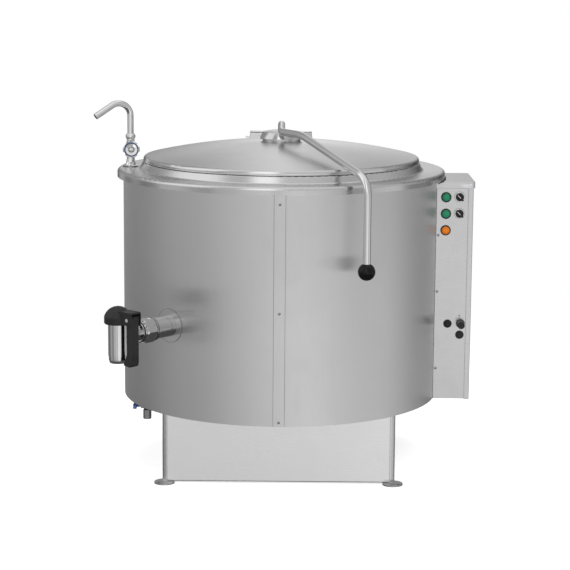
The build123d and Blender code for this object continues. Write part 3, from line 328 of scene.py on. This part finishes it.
def make_materials():
    """Every material by its short name; a tint of one number is a grey."""
    silver, bright = 0.62, 0.70
    return {
        "casing": steel("steel_casing", silver, 0.31, "barrel", anisotropic=0.95, cloud=0.0, streak=0.008),
        "lid": steel("steel_lid", 0.64, 0.22, "round", anisotropic=0.8, rotation=0.25),
        "deck": steel("steel_deck", silver, 0.27, "round", anisotropic=0.8, rotation=0.25),
        "sheet": steel("steel_sheet", 0.595, 0.28, "across", streak=0.008),
        "cover": steel("steel_cover", 0.78, 0.22, "across"),
        "foot": steel("steel_foot", 0.44, 0.3, "round"),
        "panel": steel("steel_panel", 0.82, 0.28, "across", depth=0.00001, cloud=0.012, streak=0.008),
        "post": steel("steel_post", silver, 0.27, "up"),
        "inside": steel("steel_inside", silver, 0.30, "round"),
        "tube": steel("steel_tube", bright, 0.07, "up", cloud=0.03),
        "pipe": steel("steel_pipe", 0.55, 0.2, "plain", cloud=0.03),
        "chrome": steel("chrome", 0.78, 0.04, "plain", depth=0.00001, streak=0.02),
        "satin": steel("satin", bright, 0.16, "plain", cloud=0.03),
        "hub": steel("steel_hub", 0.55, 0.13, "plain", depth=0.00001, cloud=0.03),
        "nut": steel("steel_nut", 0.6, 0.12, "plain", depth=0.00001, cloud=0.04),
        "edge": steel("steel_edge", 0.86, 0.08, "plain", depth=0.00001),
        "valve": steel("steel_valve", 0.56, 0.05, "plain", depth=0.00001, cloud=0.03, streak=0.02),
        # Painted shade: a darker copy of satin steel for the level cock, which sits in the shade under the
        # casing; the seam and column screws share it.
        "shaded_fitting": steel("shaded_fitting", 0.30, 0.16, "plain", cloud=0.03),
        "spring": steel("spring_steel", (0.35, 0.35, 0.37), 0.32, "plain"),
        "brass": steel("brass", (0.72, 0.52, 0.22), 0.28, "plain"),
        "black": plastic("black_plastic", (0.014, 0.014, 0.015), 0.42, wear=0.15, gloss=0.35),
        "black_gloss": plastic("black_gloss", (0.006, 0.006, 0.007), 0.07, texture=260.0, depth=0.00002,
                               wear=0.1, gloss=0.18),
        "rubber": plastic("rubber", 0.02, 0.62, texture=500.0, depth=0.0002, wear=0.5),
        "gasket": plastic("gasket", 0.36, 0.6, texture=500.0, depth=0.0001, wear=0.1),
        # Painted shade and dark reflection: the dark grey of the lines drawn where shadows and dark edge
        # reflections fall.
        "painted_shade_and_reflection": plastic("painted_shade_and_reflection_lines", 0.16, 0.7, texture=500.0, depth=0.0001, wear=0.1, gloss=0.2),
        "blue": plastic("blue_plastic", (0.05, 0.11, 0.38), 0.34, texture=700.0, depth=0.00006, coat=0.2),
        "blue_ring": plastic("blue_ring", (0.032, 0.055, 0.15), 0.3, texture=700.0, depth=0.00004, coat=0.1),
        "green": lens("green_lens", (0.018, 0.29, 0.140), (0.827, 0.777)),
        "orange": lens("orange_lens", (0.95, 0.245, 0.012), (0.727,)),
        "wool": wool("mineral_wool", (0.50, 0.44, 0.24)),
        "iron": cast("cast_iron", (0.09, 0.085, 0.08), 0.6),
        "badge": plastic("badge_plate", (0.70, 0.71, 0.73), 0.35, depth=0.00002, coat=0.2, wear=0.0),
        "white": plastic("white_mark", (0.78, 0.78, 0.76), 0.4, depth=0.00003, wear=0.0),
    }


NODE_MATERIALS = {
    "casing": "casing_left casing_right seam_strips drain_escutcheon",
    "lid": "lid_shell",
    "deck": "deck_ring",
    "panel": "plinth_panels",
    "foot": "foot_plates",
    "cover": "hinge_cover",
    "sheet": "column_front_panel column_side_cover column_top_cap column_floor "
             "hinge_bracket casing_bottom_pan flue_duct combustion_chamber",
    "post": "plinth_posts",
    "inside": "inner_vessel jacket_shell",
    "tube": "lid_arm",
    "pipe": "drain_pipe",
    "nut": "drain_union_nut",
    "valve": "drain_valve_body",
    "hub": "lid_hub",
    "chrome": "tap_body tap_swivel_nut tap_wheel tap_spout selector_bezels",
    "satin": "hinge_shaft drain_plug lever_pin water_feed_pipe gas_pipes",
    "shaded_fitting": "level_cock seam_screws column_screws",
    "spring": "balance_springs",
    "brass": "tap_lock_nut gas_cock safety_valve",
    "black": "lamp_bezels selector_knob_upper selector_knob_lower knob_collars gas_knob blanking_plug "
             "cable_gland drain_hood drain_lever igniter_button",
    "black_gloss": "handle_ball",
    "gasket": "lid_gasket",
    "blue": "cock_handle",
    "blue_ring": "tap_index_ring",
    "green": "green_lamps",
    "orange": "orange_lamp",
    "wool": "insulation",
    "iron": "burner",
}


def dress_nodes(materials):
    """Gives every CAD node its material."""
    dressed = set()
    for name, members in NODE_MATERIALS.items():
        for node in members.split():
            nodes[node].data.materials.clear()
            nodes[node].data.materials.append(materials[name])
            dressed.add(node)
    bare = sorted(set(nodes) - dressed)
    if bare:
        raise ValueError(f"nodes without a material: {bare}")


# ---- mesh helpers ----
def add_piece(name, mesh, material, body, replaced=()):
    """Puts a finished bmesh into the scene as a piece that rides on a body."""
    sharp_edge = math.radians(32)
    bmesh.ops.recalc_face_normals(mesh, faces=mesh.faces)
    data = bpy.data.meshes.new(name)
    mesh.to_mesh(data)
    mesh.free()
    for polygon in data.polygons:
        polygon.use_smooth = True
    data.set_sharp_from_angle(angle=sharp_edge)
    piece = bpy.data.objects.new(name, data)
    bpy.context.scene.collection.objects.link(piece)
    data.materials.append(material)
    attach(piece, body)
    if replaced:
        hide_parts(*replaced)


def circle(centre, radius, first, second, steps):
    """Points round a circle, in the plane of two directions."""
    turns = [2 * math.pi * step / steps for step in range(steps)]
    return [Vector(centre) + radius * (math.cos(turn) * first + math.sin(turn) * second) for turn in turns]


def facing(heading):
    """The level direction that lies at a heading from the front, to the right of it."""
    return Vector((math.sin(heading), -math.cos(heading), 0.0))


def bridge(mesh, rings):
    """Faces between neighbouring rings of vertices."""
    for first, second in zip(rings, rings[1:]):
        count = len(first)
        for index in range(count):
            after = (index + 1) % count
            mesh.faces.new((first[index], first[after], second[after], second[index]))


def sweep(mesh, points, radius, sides=12, loop=False):
    """A round bar along a chain of points; radius may be a number or a list, one for each point."""
    points = [Vector(point) for point in points]
    count = len(points)
    radii = [radius] * count if isinstance(radius, float) else radius
    rings = []
    across = None
    for index, point in enumerate(points):
        before = points[index - 1] if index or loop else point
        after = points[(index + 1) % count] if index < count - 1 or loop else point
        along = (after - before).normalized()
        if across is None:
            across = along.orthogonal().normalized()
        across = (across - along * across.dot(along)).normalized()
        side = along.cross(across)
        rings.append([mesh.verts.new(spot) for spot in circle(point, radii[index], across, side, sides)])
    if loop:
        start = min(range(sides), key=lambda shift: (rings[0][shift].co - rings[-1][0].co).length)
        rings.append([rings[0][(start + step) % sides] for step in range(sides)])
        bridge(mesh, rings)
    else:
        bridge(mesh, rings)
        mesh.faces.new(list(reversed(rings[0])))
        mesh.faces.new(rings[-1])


def turn_profile(mesh, profile, origin, axis, segments=48):
    """A closed profile in (radius, distance) turned about a line; radii of 0 close on the axis."""
    axis = Vector(axis).normalized()
    across = axis.orthogonal().normalized()
    side = axis.cross(across)
    origin = Vector(origin)
    rings = []
    for radius, distance in profile:
        if radius == 0:
            rings.append([mesh.verts.new(origin + axis * distance)])
            continue
        level = circle(origin + axis * distance, radius, across, side, segments)
        rings.append([mesh.verts.new(spot) for spot in level])
    closed = profile[0][0] != 0
    for first, second in zip(rings, rings[1:] + (rings[:1] if closed else [])):
        for index in range(segments):
            after = (index + 1) % segments
            corners = [first[index % len(first)], first[after % len(first)],
                       second[after % len(second)], second[index % len(second)]]
            unique = list(dict.fromkeys(corners))
            if len(unique) > 2:
                mesh.faces.new(unique)


def slab(mesh, outline, origin, x_axis, y_axis, depth, bevel):
    """A flat plate with rounded-off edges: an outline in (x, y), raised by depth along x cross y."""
    x_axis, y_axis, origin = Vector(x_axis), Vector(y_axis), Vector(origin)
    out = x_axis.cross(y_axis)
    middle = Vector((sum(x for x, _ in outline), sum(y for _, y in outline))) / len(outline)
    rings = []
    for level, inset in ((0.0, 0.0), (depth - bevel, 0.0),
                         (depth - bevel * 0.3, bevel * 0.3), (depth, bevel)):
        ring = []
        for x, y in outline:
            spot = Vector((x, y)) - middle
            spot = spot * (1 - inset / spot.length) + middle
            ring.append(mesh.verts.new(origin + spot.x * x_axis + spot.y * y_axis + level * out))
        rings.append(ring)
    bridge(mesh, rings)
    mesh.faces.new(rings[-1])
    mesh.faces.new(list(reversed(rings[0])))


def stadium(half_length, half_width, steps=8):
    """A bar's outline with round ends."""
    straight = half_length - half_width
    outline = []
    for side in (1, -1):
        for step in range(steps + 1):
            turn = math.pi * step / steps - math.pi / 2
            outline.append((side * (straight + half_width * math.cos(turn)),
                            side * half_width * math.sin(turn)))
    return outline


def rounded(x0, y0, x1, y1, radius, steps=4):
    """A rectangle's outline with round corners."""
    outline = []
    for cx, cy, start in ((x1 - radius, y1 - radius, 0), (x0 + radius, y1 - radius, 90),
                          (x0 + radius, y0 + radius, 180), (x1 - radius, y0 + radius, 270)):
        for step in range(steps + 1):
            turn = math.radians(start + 90 * step / steps)
            outline.append((cx + radius * math.cos(turn), cy + radius * math.sin(turn)))
    return outline


def make_springs(materials):
    """Two wound torsion springs round the hinge shaft, each with two legs down to the bracket."""
    axis_y, axis_z, coil, wire, turns, pitch = 0.470, 0.942, 0.0139, 0.0022, 5.5, 0.0056
    foot, steps = 0.9042, 132
    mesh = bmesh.new()
    for middle in (-0.05625, 0.05175):
        points = [(middle - turns * pitch / 2, axis_y + coil, foot)]
        for step in range(steps + 1):
            turn = 2 * math.pi * turns * step / steps
            points.append((middle + pitch * turns * (step / steps - 0.5), axis_y + coil * math.cos(turn),
                           axis_z + coil * math.sin(turn)))
        points.append((middle + turns * pitch / 2, axis_y - coil, foot))
        sweep(mesh, points, wire, 10)
    add_piece("balance_spring_coils", mesh, materials["spring"], "root", ("balance_springs",))


def make_threads(materials):
    """Thread crests on the water and the gas inlet."""
    pitch, crest, steps_a_turn = 0.001814, 0.00055, 30
    for name, x, y, radius, low, high in (("water_thread", *TAP, 0.0105, 0.1845, 0.2035),
                                          ("gas_thread", 0.557, 0.062, 0.0132, 0.1905, 0.2055)):
        turns = (high - low) / pitch
        steps = int(steps_a_turn * turns)
        mesh = bmesh.new()
        sweep(mesh, [(x + radius * math.cos(2 * math.pi * turns * step / steps),
                      y + radius * math.sin(2 * math.pi * turns * step / steps),
                      low + (high - low) * step / steps) for step in range(steps + 1)], crest, 6)
        add_piece(name, mesh, materials["satin"], "root")


def make_posts(materials):
    """Corner posts folded from sheet, with a slanting outer face, and a weld bead round each foot."""
    half_x, half_y, size, slant, low, high = 0.343, 0.340, 0.016, 0.0105, 0.005, 0.208
    posts = bmesh.new()
    beads = bmesh.new()
    for sx in (-1, 1):
        for sy in (-1, 1):
            outline = [(size - 0.001, 0.0), (size, 0.001), (size, size - 0.001), (size - 0.001, size),
                       (0.001, size), (0.0, size - 0.001), (0.0, slant + 0.0008), (0.0005, slant - 0.0005),
                       (slant - 0.0005, 0.0005), (slant + 0.0008, 0.0)]
            outline = [(sx * (half_x - x), sy * (half_y - y)) for x, y in outline]
            rings = [[posts.verts.new((x, y, level)) for x, y in outline] for level in (low, high)]
            bridge(posts, rings)
            posts.faces.new(rings[1])
            posts.faces.new(list(reversed(rings[0])))
            corners = [Vector((x, y, low + 0.0004)) for x, y in outline]
            path = []
            for first, second in zip(corners, corners[1:] + corners[:1]):
                count = max(1, round((second - first).length / 0.0009))
                path += [first.lerp(second, step / count) for step in range(count)]
            radii = [0.0013 + 0.0003 * math.sin(index * 1.9) for index in range(len(path))]
            sweep(beads, path, radii, 8, loop=True)
    add_piece("corner_posts", posts, materials["post"], "root", ("plinth_posts",))
    add_piece("post_welds", beads, materials["satin"], "root")


def make_selector_marks(materials):
    """The white pointer line on each selector knob, at 45 degrees."""
    knob_face, off_centre, slant = -0.132, 0.0038, math.sqrt(0.5)
    along = (slant, 0.0, -slant)
    for name, height in SELECTOR_HEIGHTS:
        mesh = bmesh.new()
        centre = Vector((SELECTOR_X, knob_face, height)) - off_centre * Vector(along)
        slab(mesh, stadium(0.0062, 0.0010), centre, along, (slant, 0.0, slant), 0.0004, 0.00025)
        add_piece(f"selector_{name}_mark", mesh, materials["white"], f"selector_{name}")


def make_small_parts(materials):
    """Plain badge plate, a sealing bead that runs on as painted shadow under the deck lip, washers and the
    like.
    """
    mesh = bmesh.new()
    slab(mesh, rounded(0.538, 0.857, 0.572, 0.867, 0.0012), (0, -0.1155, 0), RIGHT, UP, 0.0006, 0.0003)
    add_piece("badge_plate", mesh, materials["badge"], "root")

    mesh = bmesh.new()
    turn_profile(mesh, [(0, 0.0009), (0.0010, 0.0008), (0.0017, 0.0003), (0.0018, 0.0), (0, 0.0)],
                 (0.543, COLUMN_FACE, 0.466), -BACK, 20)
    add_piece("panel_stud", mesh, materials["black"], "root")

    mesh = bmesh.new()
    turn_profile(mesh, [(0.0046, 0.0), (0.0046, 0.0004), (0.0050, 0.0008), (0.0056, 0.0008), (0.0060, 0.0004),
                        (0.0060, 0.0)], (0.508, -0.1195, 0.441), -BACK, 40)
    add_piece("igniter_ring", mesh, materials["black_gloss"], "igniter")

    mesh = bmesh.new()
    # Partly painted shadow: the rubber seal where the column cap meets the casing runs on past the column
    # along the deck lip's lower edge, where there is only the shadow under the lip; it thickens towards the
    # column.
    edge, bead = [], []
    steps, radius, height, first, sector = 52, 0.4990, 0.8755, -21.0, 34.2
    for step in range(steps + 1):
        turn = math.radians(first + sector * step / steps)
        edge.append((radius * math.cos(turn), radius * math.sin(turn), height))
        bead.append(0.0012 + 0.0014 * min(1.0, step / 20) + 0.0002 * math.sin(step * 1.3))
    sweep(mesh, edge, bead, 10)
    add_piece("cap_seal_and_lip_shadow", mesh, materials["rubber"], "root")

    mesh = bmesh.new()
    turn_profile(mesh, [(0.0222, 0.0), (0.0236, 0.0), (0.0240, 0.0006), (0.0236, 0.0014), (0.0222, 0.0014)],
                 (*TAP, 0.900), UP, 56)
    add_piece("tap_washer", mesh, materials["rubber"], "root")

    mesh = bmesh.new()
    for _, height in SELECTOR_HEIGHTS:
        for radius, level, wire in ((0.0153, -0.1102, 0.00055), (0.0124, -0.1152, 0.0004)):
            sweep(mesh, circle((SELECTOR_X, level, height), radius, RIGHT, UP, 48), wire, 8, loop=True)
    add_piece("selector_rings", mesh, materials["black"], "root")

    outward = facing(DRAIN_HEADING)
    mesh = bmesh.new()
    turn_profile(mesh, [(0.0290, 0.0), (0.0312, 0.0002), (0.0318, 0.0010), (0.0312, 0.0022),
                        (0.0290, 0.0024)],
                 outward * 0.604 + DRAIN_HEIGHT * UP, outward, 56)
    add_piece("union_washer", mesh, materials["rubber"], "root")


def make_painted_shade_lines(materials):
    """Painted dark lines: shadow at the seam strips and the escutcheon, shade at the column's laps, dark
    reflection on the hinge cover.
    """
    strip_half_width, line_radius, steps = 0.01645, CASING_RADIUS + 0.0002, 12
    # Painted shadow along both edges of each seam strip.
    mesh = bmesh.new()
    for side in (-1, 1):
        for edge in (-1, 1):
            turn = side * math.pi / 2 + edge * strip_half_width / CASING_RADIUS
            x, y = line_radius * math.cos(turn), line_radius * math.sin(turn)
            sweep(mesh, [(x, y, 0.2085 + 0.667 * step / steps) for step in range(steps + 1)], 0.00045, 8)
    add_piece("seam_painted_shadows", mesh, materials["painted_shade_and_reflection"], "root")

    low, rise, left, width, across = 0.209, 0.645, 0.470, 0.092, 8
    # Painted shade: the side cover's lapped edge, the line under the cap's lip and the column's left edge
    # against the casing.
    mesh = bmesh.new()
    sweep(mesh, [(0.5626, -0.1099, low + rise * step / steps) for step in range(steps + 1)], 0.0004, 8)
    sweep(mesh, [(left + width * step / across, -0.1101, 0.8546) for step in range(across + 1)], 0.0007, 8)
    sweep(mesh, [(0.4674, -0.1102, low + rise * step / steps) for step in range(steps + 1)], 0.0009, 8)
    add_piece("panel_painted_shade_lines", mesh, materials["painted_shade_and_reflection"], "root")

    # Painted dark reflection on the hinge cover's rounded front edges.
    mesh = bmesh.new()
    left, right, top, foot, front = -0.1055, 0.0965, 0.9665, 0.9055, 0.4405
    corners = [(left, front, foot), (left, front, top), (right, front, top), (right, front, foot)]
    sweep(mesh, corners, 0.0011, 8)
    add_piece("hinge_painted_edge_reflection", mesh, materials["painted_shade_and_reflection"], "root")

    # Painted shadow round the escutcheon's edge on the casing.
    wall, disc, steps = CASING_RADIUS + 0.0015, 0.0492, 72
    mesh = bmesh.new()
    ring = []
    for step in range(steps):
        turn = 2 * math.pi * step / steps
        place = DRAIN_HEADING + math.asin(disc * math.cos(turn) / wall)
        ring.append(wall * facing(place) + (DRAIN_HEIGHT + disc * math.sin(turn)) * UP)
    sweep(mesh, ring, 0.0005, 8, loop=True)
    add_piece("escutcheon_painted_shadow", mesh, materials["painted_shade_and_reflection"], "root")


def make_wheel_rings(materials):
    """The tap wheel's raised blue index ring, and a dark ring round its cap that is painted shade for the
    recess there.
    """
    outward = facing(TAP_HEADING)
    # The second ring is painted shade: a dark torus for the recess round the wheel's cap.
    for name, radius, reach, wire, material in (("tap_index_band", 0.0198, 0.0432, 0.0021, "blue_ring"),
                                                ("tap_wheel_painted_recess_shade", 0.0084, 0.0413, 0.0009, "painted_shade_and_reflection")):
        middle = Vector((*TAP, 0.955)) + outward * reach
        mesh = bmesh.new()
        sweep(mesh, circle(middle, radius, outward.cross(UP), UP, 64), wire, 12, loop=True)
        add_piece(name, mesh, materials[material], "tap_wheel")


def make_valve_foot_shade(materials):
    """A dark ring round the foot of the draw-off cock's barrel: painted shade for the turned groove there."""
    # Painted shade: a thin dark ring in place of the groove's shadow.
    mesh = bmesh.new()
    sweep(mesh, circle((*VALVE, 0.4095), 0.0271, RIGHT, BACK, 64), 0.0006, 10, loop=True)
    add_piece("valve_foot_painted_shade", mesh, materials["painted_shade_and_reflection"], "root")


def make_union_edges(materials):
    """Bright turned-off corners and rims on the union nut."""
    outward = facing(DRAIN_HEADING)
    mesh = bmesh.new()
    for place, radius in ((0.5615, 0.0330), (0.5965, 0.0330), (0.6035, 0.0288)):
        middle = DRAIN_HEIGHT * UP + outward * place
        sweep(mesh, circle(middle, radius, outward.cross(UP), UP, 60), 0.0009, 8, loop=True)
    add_piece("union_edges", mesh, materials["edge"], "root")


def make_lid_hem(materials):
    """The lid's hemmed lower edge, which hides the gap over the collar."""
    mesh = bmesh.new()
    sweep(mesh, circle((0.0, 0.0, 0.9241), 0.4178, RIGHT, BACK, 288), 0.0017, 12, loop=True)
    add_piece("lid_hem", mesh, materials["lid"], "lid")


def make_spout_bore_shade(materials):
    """A dark plug just inside the spout's open end: painted shade for the inside of the bore."""
    reach = 0.112
    start = Vector((*TAP, 1.122))
    end = Vector((TAP[0] + reach * math.cos(SPOUT_HEADING), TAP[1] + reach * math.sin(SPOUT_HEADING), 1.054))
    along = (end - start).normalized()
    # Painted shade: a dark plug set just inside the spout's mouth.
    mesh = bmesh.new()
    turn_profile(mesh, [(0.0, -0.030), (0.0078, -0.030), (0.0078, -0.0015), (0.0072, -0.0010),
                        (0.0070, -0.010), (0.0, -0.012)], end, along, 36)
    add_piece("spout_painted_bore_shade", mesh, materials["iron"], "spout")


# ---- studio ----
# What the metal reflects: degrees round the room from the camera's side, and the light there at eye level
# (ROOM_HIGH), down by the floor (ROOM_LOW) and over head height (UPPER).
ROOM_HIGH = [(-180, 0.90), (-178, 0.66), (-176, 0.38), (-168, 0.18), (-160, 0.14), (-150, 0.50),
             (-142, 0.42), (-136, 0.20), (-120, 0.44), (-112, 0.24), (-98, 0.28), (-92, 0.60), (-72, 0.60),
             (-62, 0.42), (-50, 0.42), (-44, 0.72), (-28, 0.80), (-18, 0.76), (0, 0.94), (10, 0.94),
             (24, 0.82), (44, 0.58), (48, 0.38), (60, 0.40), (66, 0.78), (92, 0.74), (98, 0.22),
             (120, 0.26), (136, 0.05), (158, 0.05), (172, 0.38), (180, 0.95)]
ROOM_LOW = [(-180, 0.60), (-170, 0.30), (-160, 0.12), (-150, 0.36), (-142, 0.32), (-136, 0.15), (-120, 0.34),
            (-112, 0.16), (-98, 0.15), (-92, 0.50), (-72, 0.48), (-62, 0.32), (-50, 0.34), (-44, 0.62),
            (-28, 0.68), (-18, 0.70), (-5, 1.10), (-4, 0.10), (-1, 0.10), (0, 1.15), (10, 1.34), (24, 1.28),
            (44, 0.98), (48, 0.56), (60, 0.56), (66, 0.98), (92, 0.94), (98, 0.30), (120, 0.36), (136, 0.05),
            (160, 0.06), (180, 0.60)]
UPPER = [(-180, 0.95), (-176, 0.82), (-173, 0.56), (-168, 0.35), (-150, 0.38), (-120, 0.44), (-107, 0.80),
         (-101, 1.20), (-58, 1.20), (-52, 0.55), (-30, 0.55), (-24, 1.60), (-5, 1.60), (0, 0.70), (30, 0.70),
         (60, 0.50), (100, 0.64), (150, 0.23), (172, 0.58), (180, 0.95)]
# By the direction's rise, -1 to 1: the share of one light over another, and the light overhead and below.
EYE_LEVEL = [(-1.0, 1.0), (-0.22, 1.0), (-0.12, 0.0)]
OVERHEAD = [(-1.0, 0.0), (0.04, 0.0), (0.24, 1.0)]
CEILING = [(-1.0, 0.0), (0.70, 0.0), (0.95, 1.0)]
CEILING_LIGHT = 0.95
GROUND = [(-1.0, 1.0), (-0.45, 1.0), (-0.28, 0.0)]
GROUND_LIGHT = 0.14


def make_world():
    """A grey room with a bright front and a bright backdrop, seen in the metal; white to the camera."""
    world = bpy.data.worlds.new("studio")
    bpy.context.scene.world = world
    world.use_nodes = True
    shader = Shader(world.node_tree)
    x, y, z = shader.parts(shader.node("ShaderNodeTexCoord").outputs["Generated"])
    turn = shader.math("ARCTAN2", x, shader.math("MULTIPLY", y, -1.0))
    place = shader.spread(turn, -math.pi, math.pi, 0.0, 1.0)

    def stop(degrees, level):
        return ((degrees + 180) / 360, level)

    rise = shader.spread(z, -1.0, 1.0, 0.0, 1.0)

    def by_height(stops, below, above):
        """One light over another, by the stops' share at each height."""
        mix = shader.node("ShaderNodeMix", data_type="RGBA")
        shader.link(shader.ramp(rise, [((level + 1) / 2, part) for level, part in stops]), mix.inputs[0])
        for light, socket in ((below, mix.inputs[6]), (above, mix.inputs[7])):
            if isinstance(light, float):
                socket.default_value = colour(light)
            else:
                shader.link(light, socket)
        return mix.outputs[2]

    high, low, upper = (shader.ramp(place, [stop(*pair) for pair in room])
                        for room in (ROOM_HIGH, ROOM_LOW, UPPER))
    walls = by_height(OVERHEAD, by_height(EYE_LEVEL, high, low), upper)
    whole = by_height(GROUND, by_height(CEILING, walls, CEILING_LIGHT), GROUND_LIGHT)
    glossy = shader.node("ShaderNodeBackground")
    shader.link(whole, glossy.inputs["Color"])
    plain = shader.node("ShaderNodeBackground")
    plain.inputs["Color"].default_value = colour(0.62)
    white = shader.node("ShaderNodeBackground")
    white.inputs["Color"].default_value = colour(1.0)
    path = shader.node("ShaderNodeLightPath")
    shiny = shader.math("MAXIMUM", path.outputs["Is Glossy Ray"], path.outputs["Is Transmission Ray"])
    first = shader.node("ShaderNodeMixShader")
    shader.link(shiny, first.inputs[0])
    shader.link(plain.outputs[0], first.inputs[1])
    shader.link(glossy.outputs[0], first.inputs[2])
    second = shader.node("ShaderNodeMixShader")
    shader.link(path.outputs["Is Camera Ray"], second.inputs[0])
    shader.link(first.outputs[0], second.inputs[1])
    shader.link(white.outputs[0], second.inputs[2])
    output = shader.node("ShaderNodeOutputWorld")
    shader.link(second.outputs[0], output.inputs["Surface"])


def make_floor():
    """A pale floor that fades into the backdrop; white to the camera, but for the shadow on it."""
    fade_start, fade_end, floor_radius = 0.9, 2.2, 2.4
    data = bpy.data.meshes.new("floor")
    mesh = bmesh.new()
    bmesh.ops.create_circle(mesh, cap_ends=True, segments=96, radius=floor_radius)
    mesh.to_mesh(data)
    mesh.free()
    floor = bpy.data.objects.new("floor", data)
    bpy.context.scene.collection.objects.link(floor)
    material = bpy.data.materials.new("floor")
    material.use_nodes = True
    shader = Shader(material.node_tree)
    surface = shader.node("ShaderNodeBsdfDiffuse")
    surface.inputs["Color"].default_value = colour(0.86)
    glow = shader.node("ShaderNodeEmission")
    glow.inputs["Color"].default_value = colour(1.0)
    path = shader.node("ShaderNodeLightPath")
    shader.link(shader.math("MULTIPLY", path.outputs["Is Camera Ray"], 0.62), glow.inputs["Strength"])
    lit = shader.node("ShaderNodeAddShader")
    shader.link(surface.outputs[0], lit.inputs[0])
    shader.link(glow.outputs[0], lit.inputs[1])
    clear = shader.node("ShaderNodeBsdfTransparent")
    x, y, _ = shader.parts(shader.place())
    radius = shader.distance(x, y)
    fade = shader.node("ShaderNodeMapRange", interpolation_type="SMOOTHSTEP")
    shader.link(radius, fade.inputs["Value"])
    fade.inputs["From Min"].default_value = fade_start
    fade.inputs["From Max"].default_value = fade_end
    mix = shader.node("ShaderNodeMixShader")
    shader.link(shader.math("MAXIMUM", fade.outputs[0], path.outputs["Is Glossy Ray"]), mix.inputs[0])
    shader.link(lit.outputs[0], mix.inputs[1])
    shader.link(clear.outputs[0], mix.inputs[2])
    output = shader.node("ShaderNodeOutputMaterial")
    shader.link(mix.outputs[0], output.inputs["Surface"])
    data.materials.append(material)


def area_light(name, place, aim, size, power):
    """A soft lamp that lights the kettle but isn't seen, in the picture or in the metal."""
    data = bpy.data.lights.new(name, "AREA")
    data.shape = "RECTANGLE"
    data.size, data.size_y = size
    data.energy = power
    light = bpy.data.objects.new(name, data)
    light.location = place
    light.rotation_euler = (Vector(aim) - Vector(place)).to_track_quat("-Z", "Y").to_euler()
    light.visible_camera = False
    light.visible_glossy = False
    bpy.context.scene.collection.objects.link(light)


def make_lights():
    area_light("key", (1.6, -3.6, 3.4), (0.1, 0, 0.6), (1.6, 1.6), 60)
    area_light("fill", (-3.2, -2.6, 2.0), (0, 0, 0.6), (1.8, 1.8), 22)
    area_light("top", (0.0, 0.6, 4.0), (0, 0, 0.5), (2.4, 2.4), 40)


bpy.context.scene.view_settings.view_transform = "Standard"
place_camera()
make_world()
make_floor()
make_lights()
materials = make_materials()
dress_nodes(materials)
for make in (make_springs, make_threads, make_posts, make_selector_marks, make_small_parts, make_painted_shade_lines,
             make_wheel_rings, make_valve_foot_shade, make_union_edges, make_lid_hem, make_spout_bore_shade):
    make(materials)
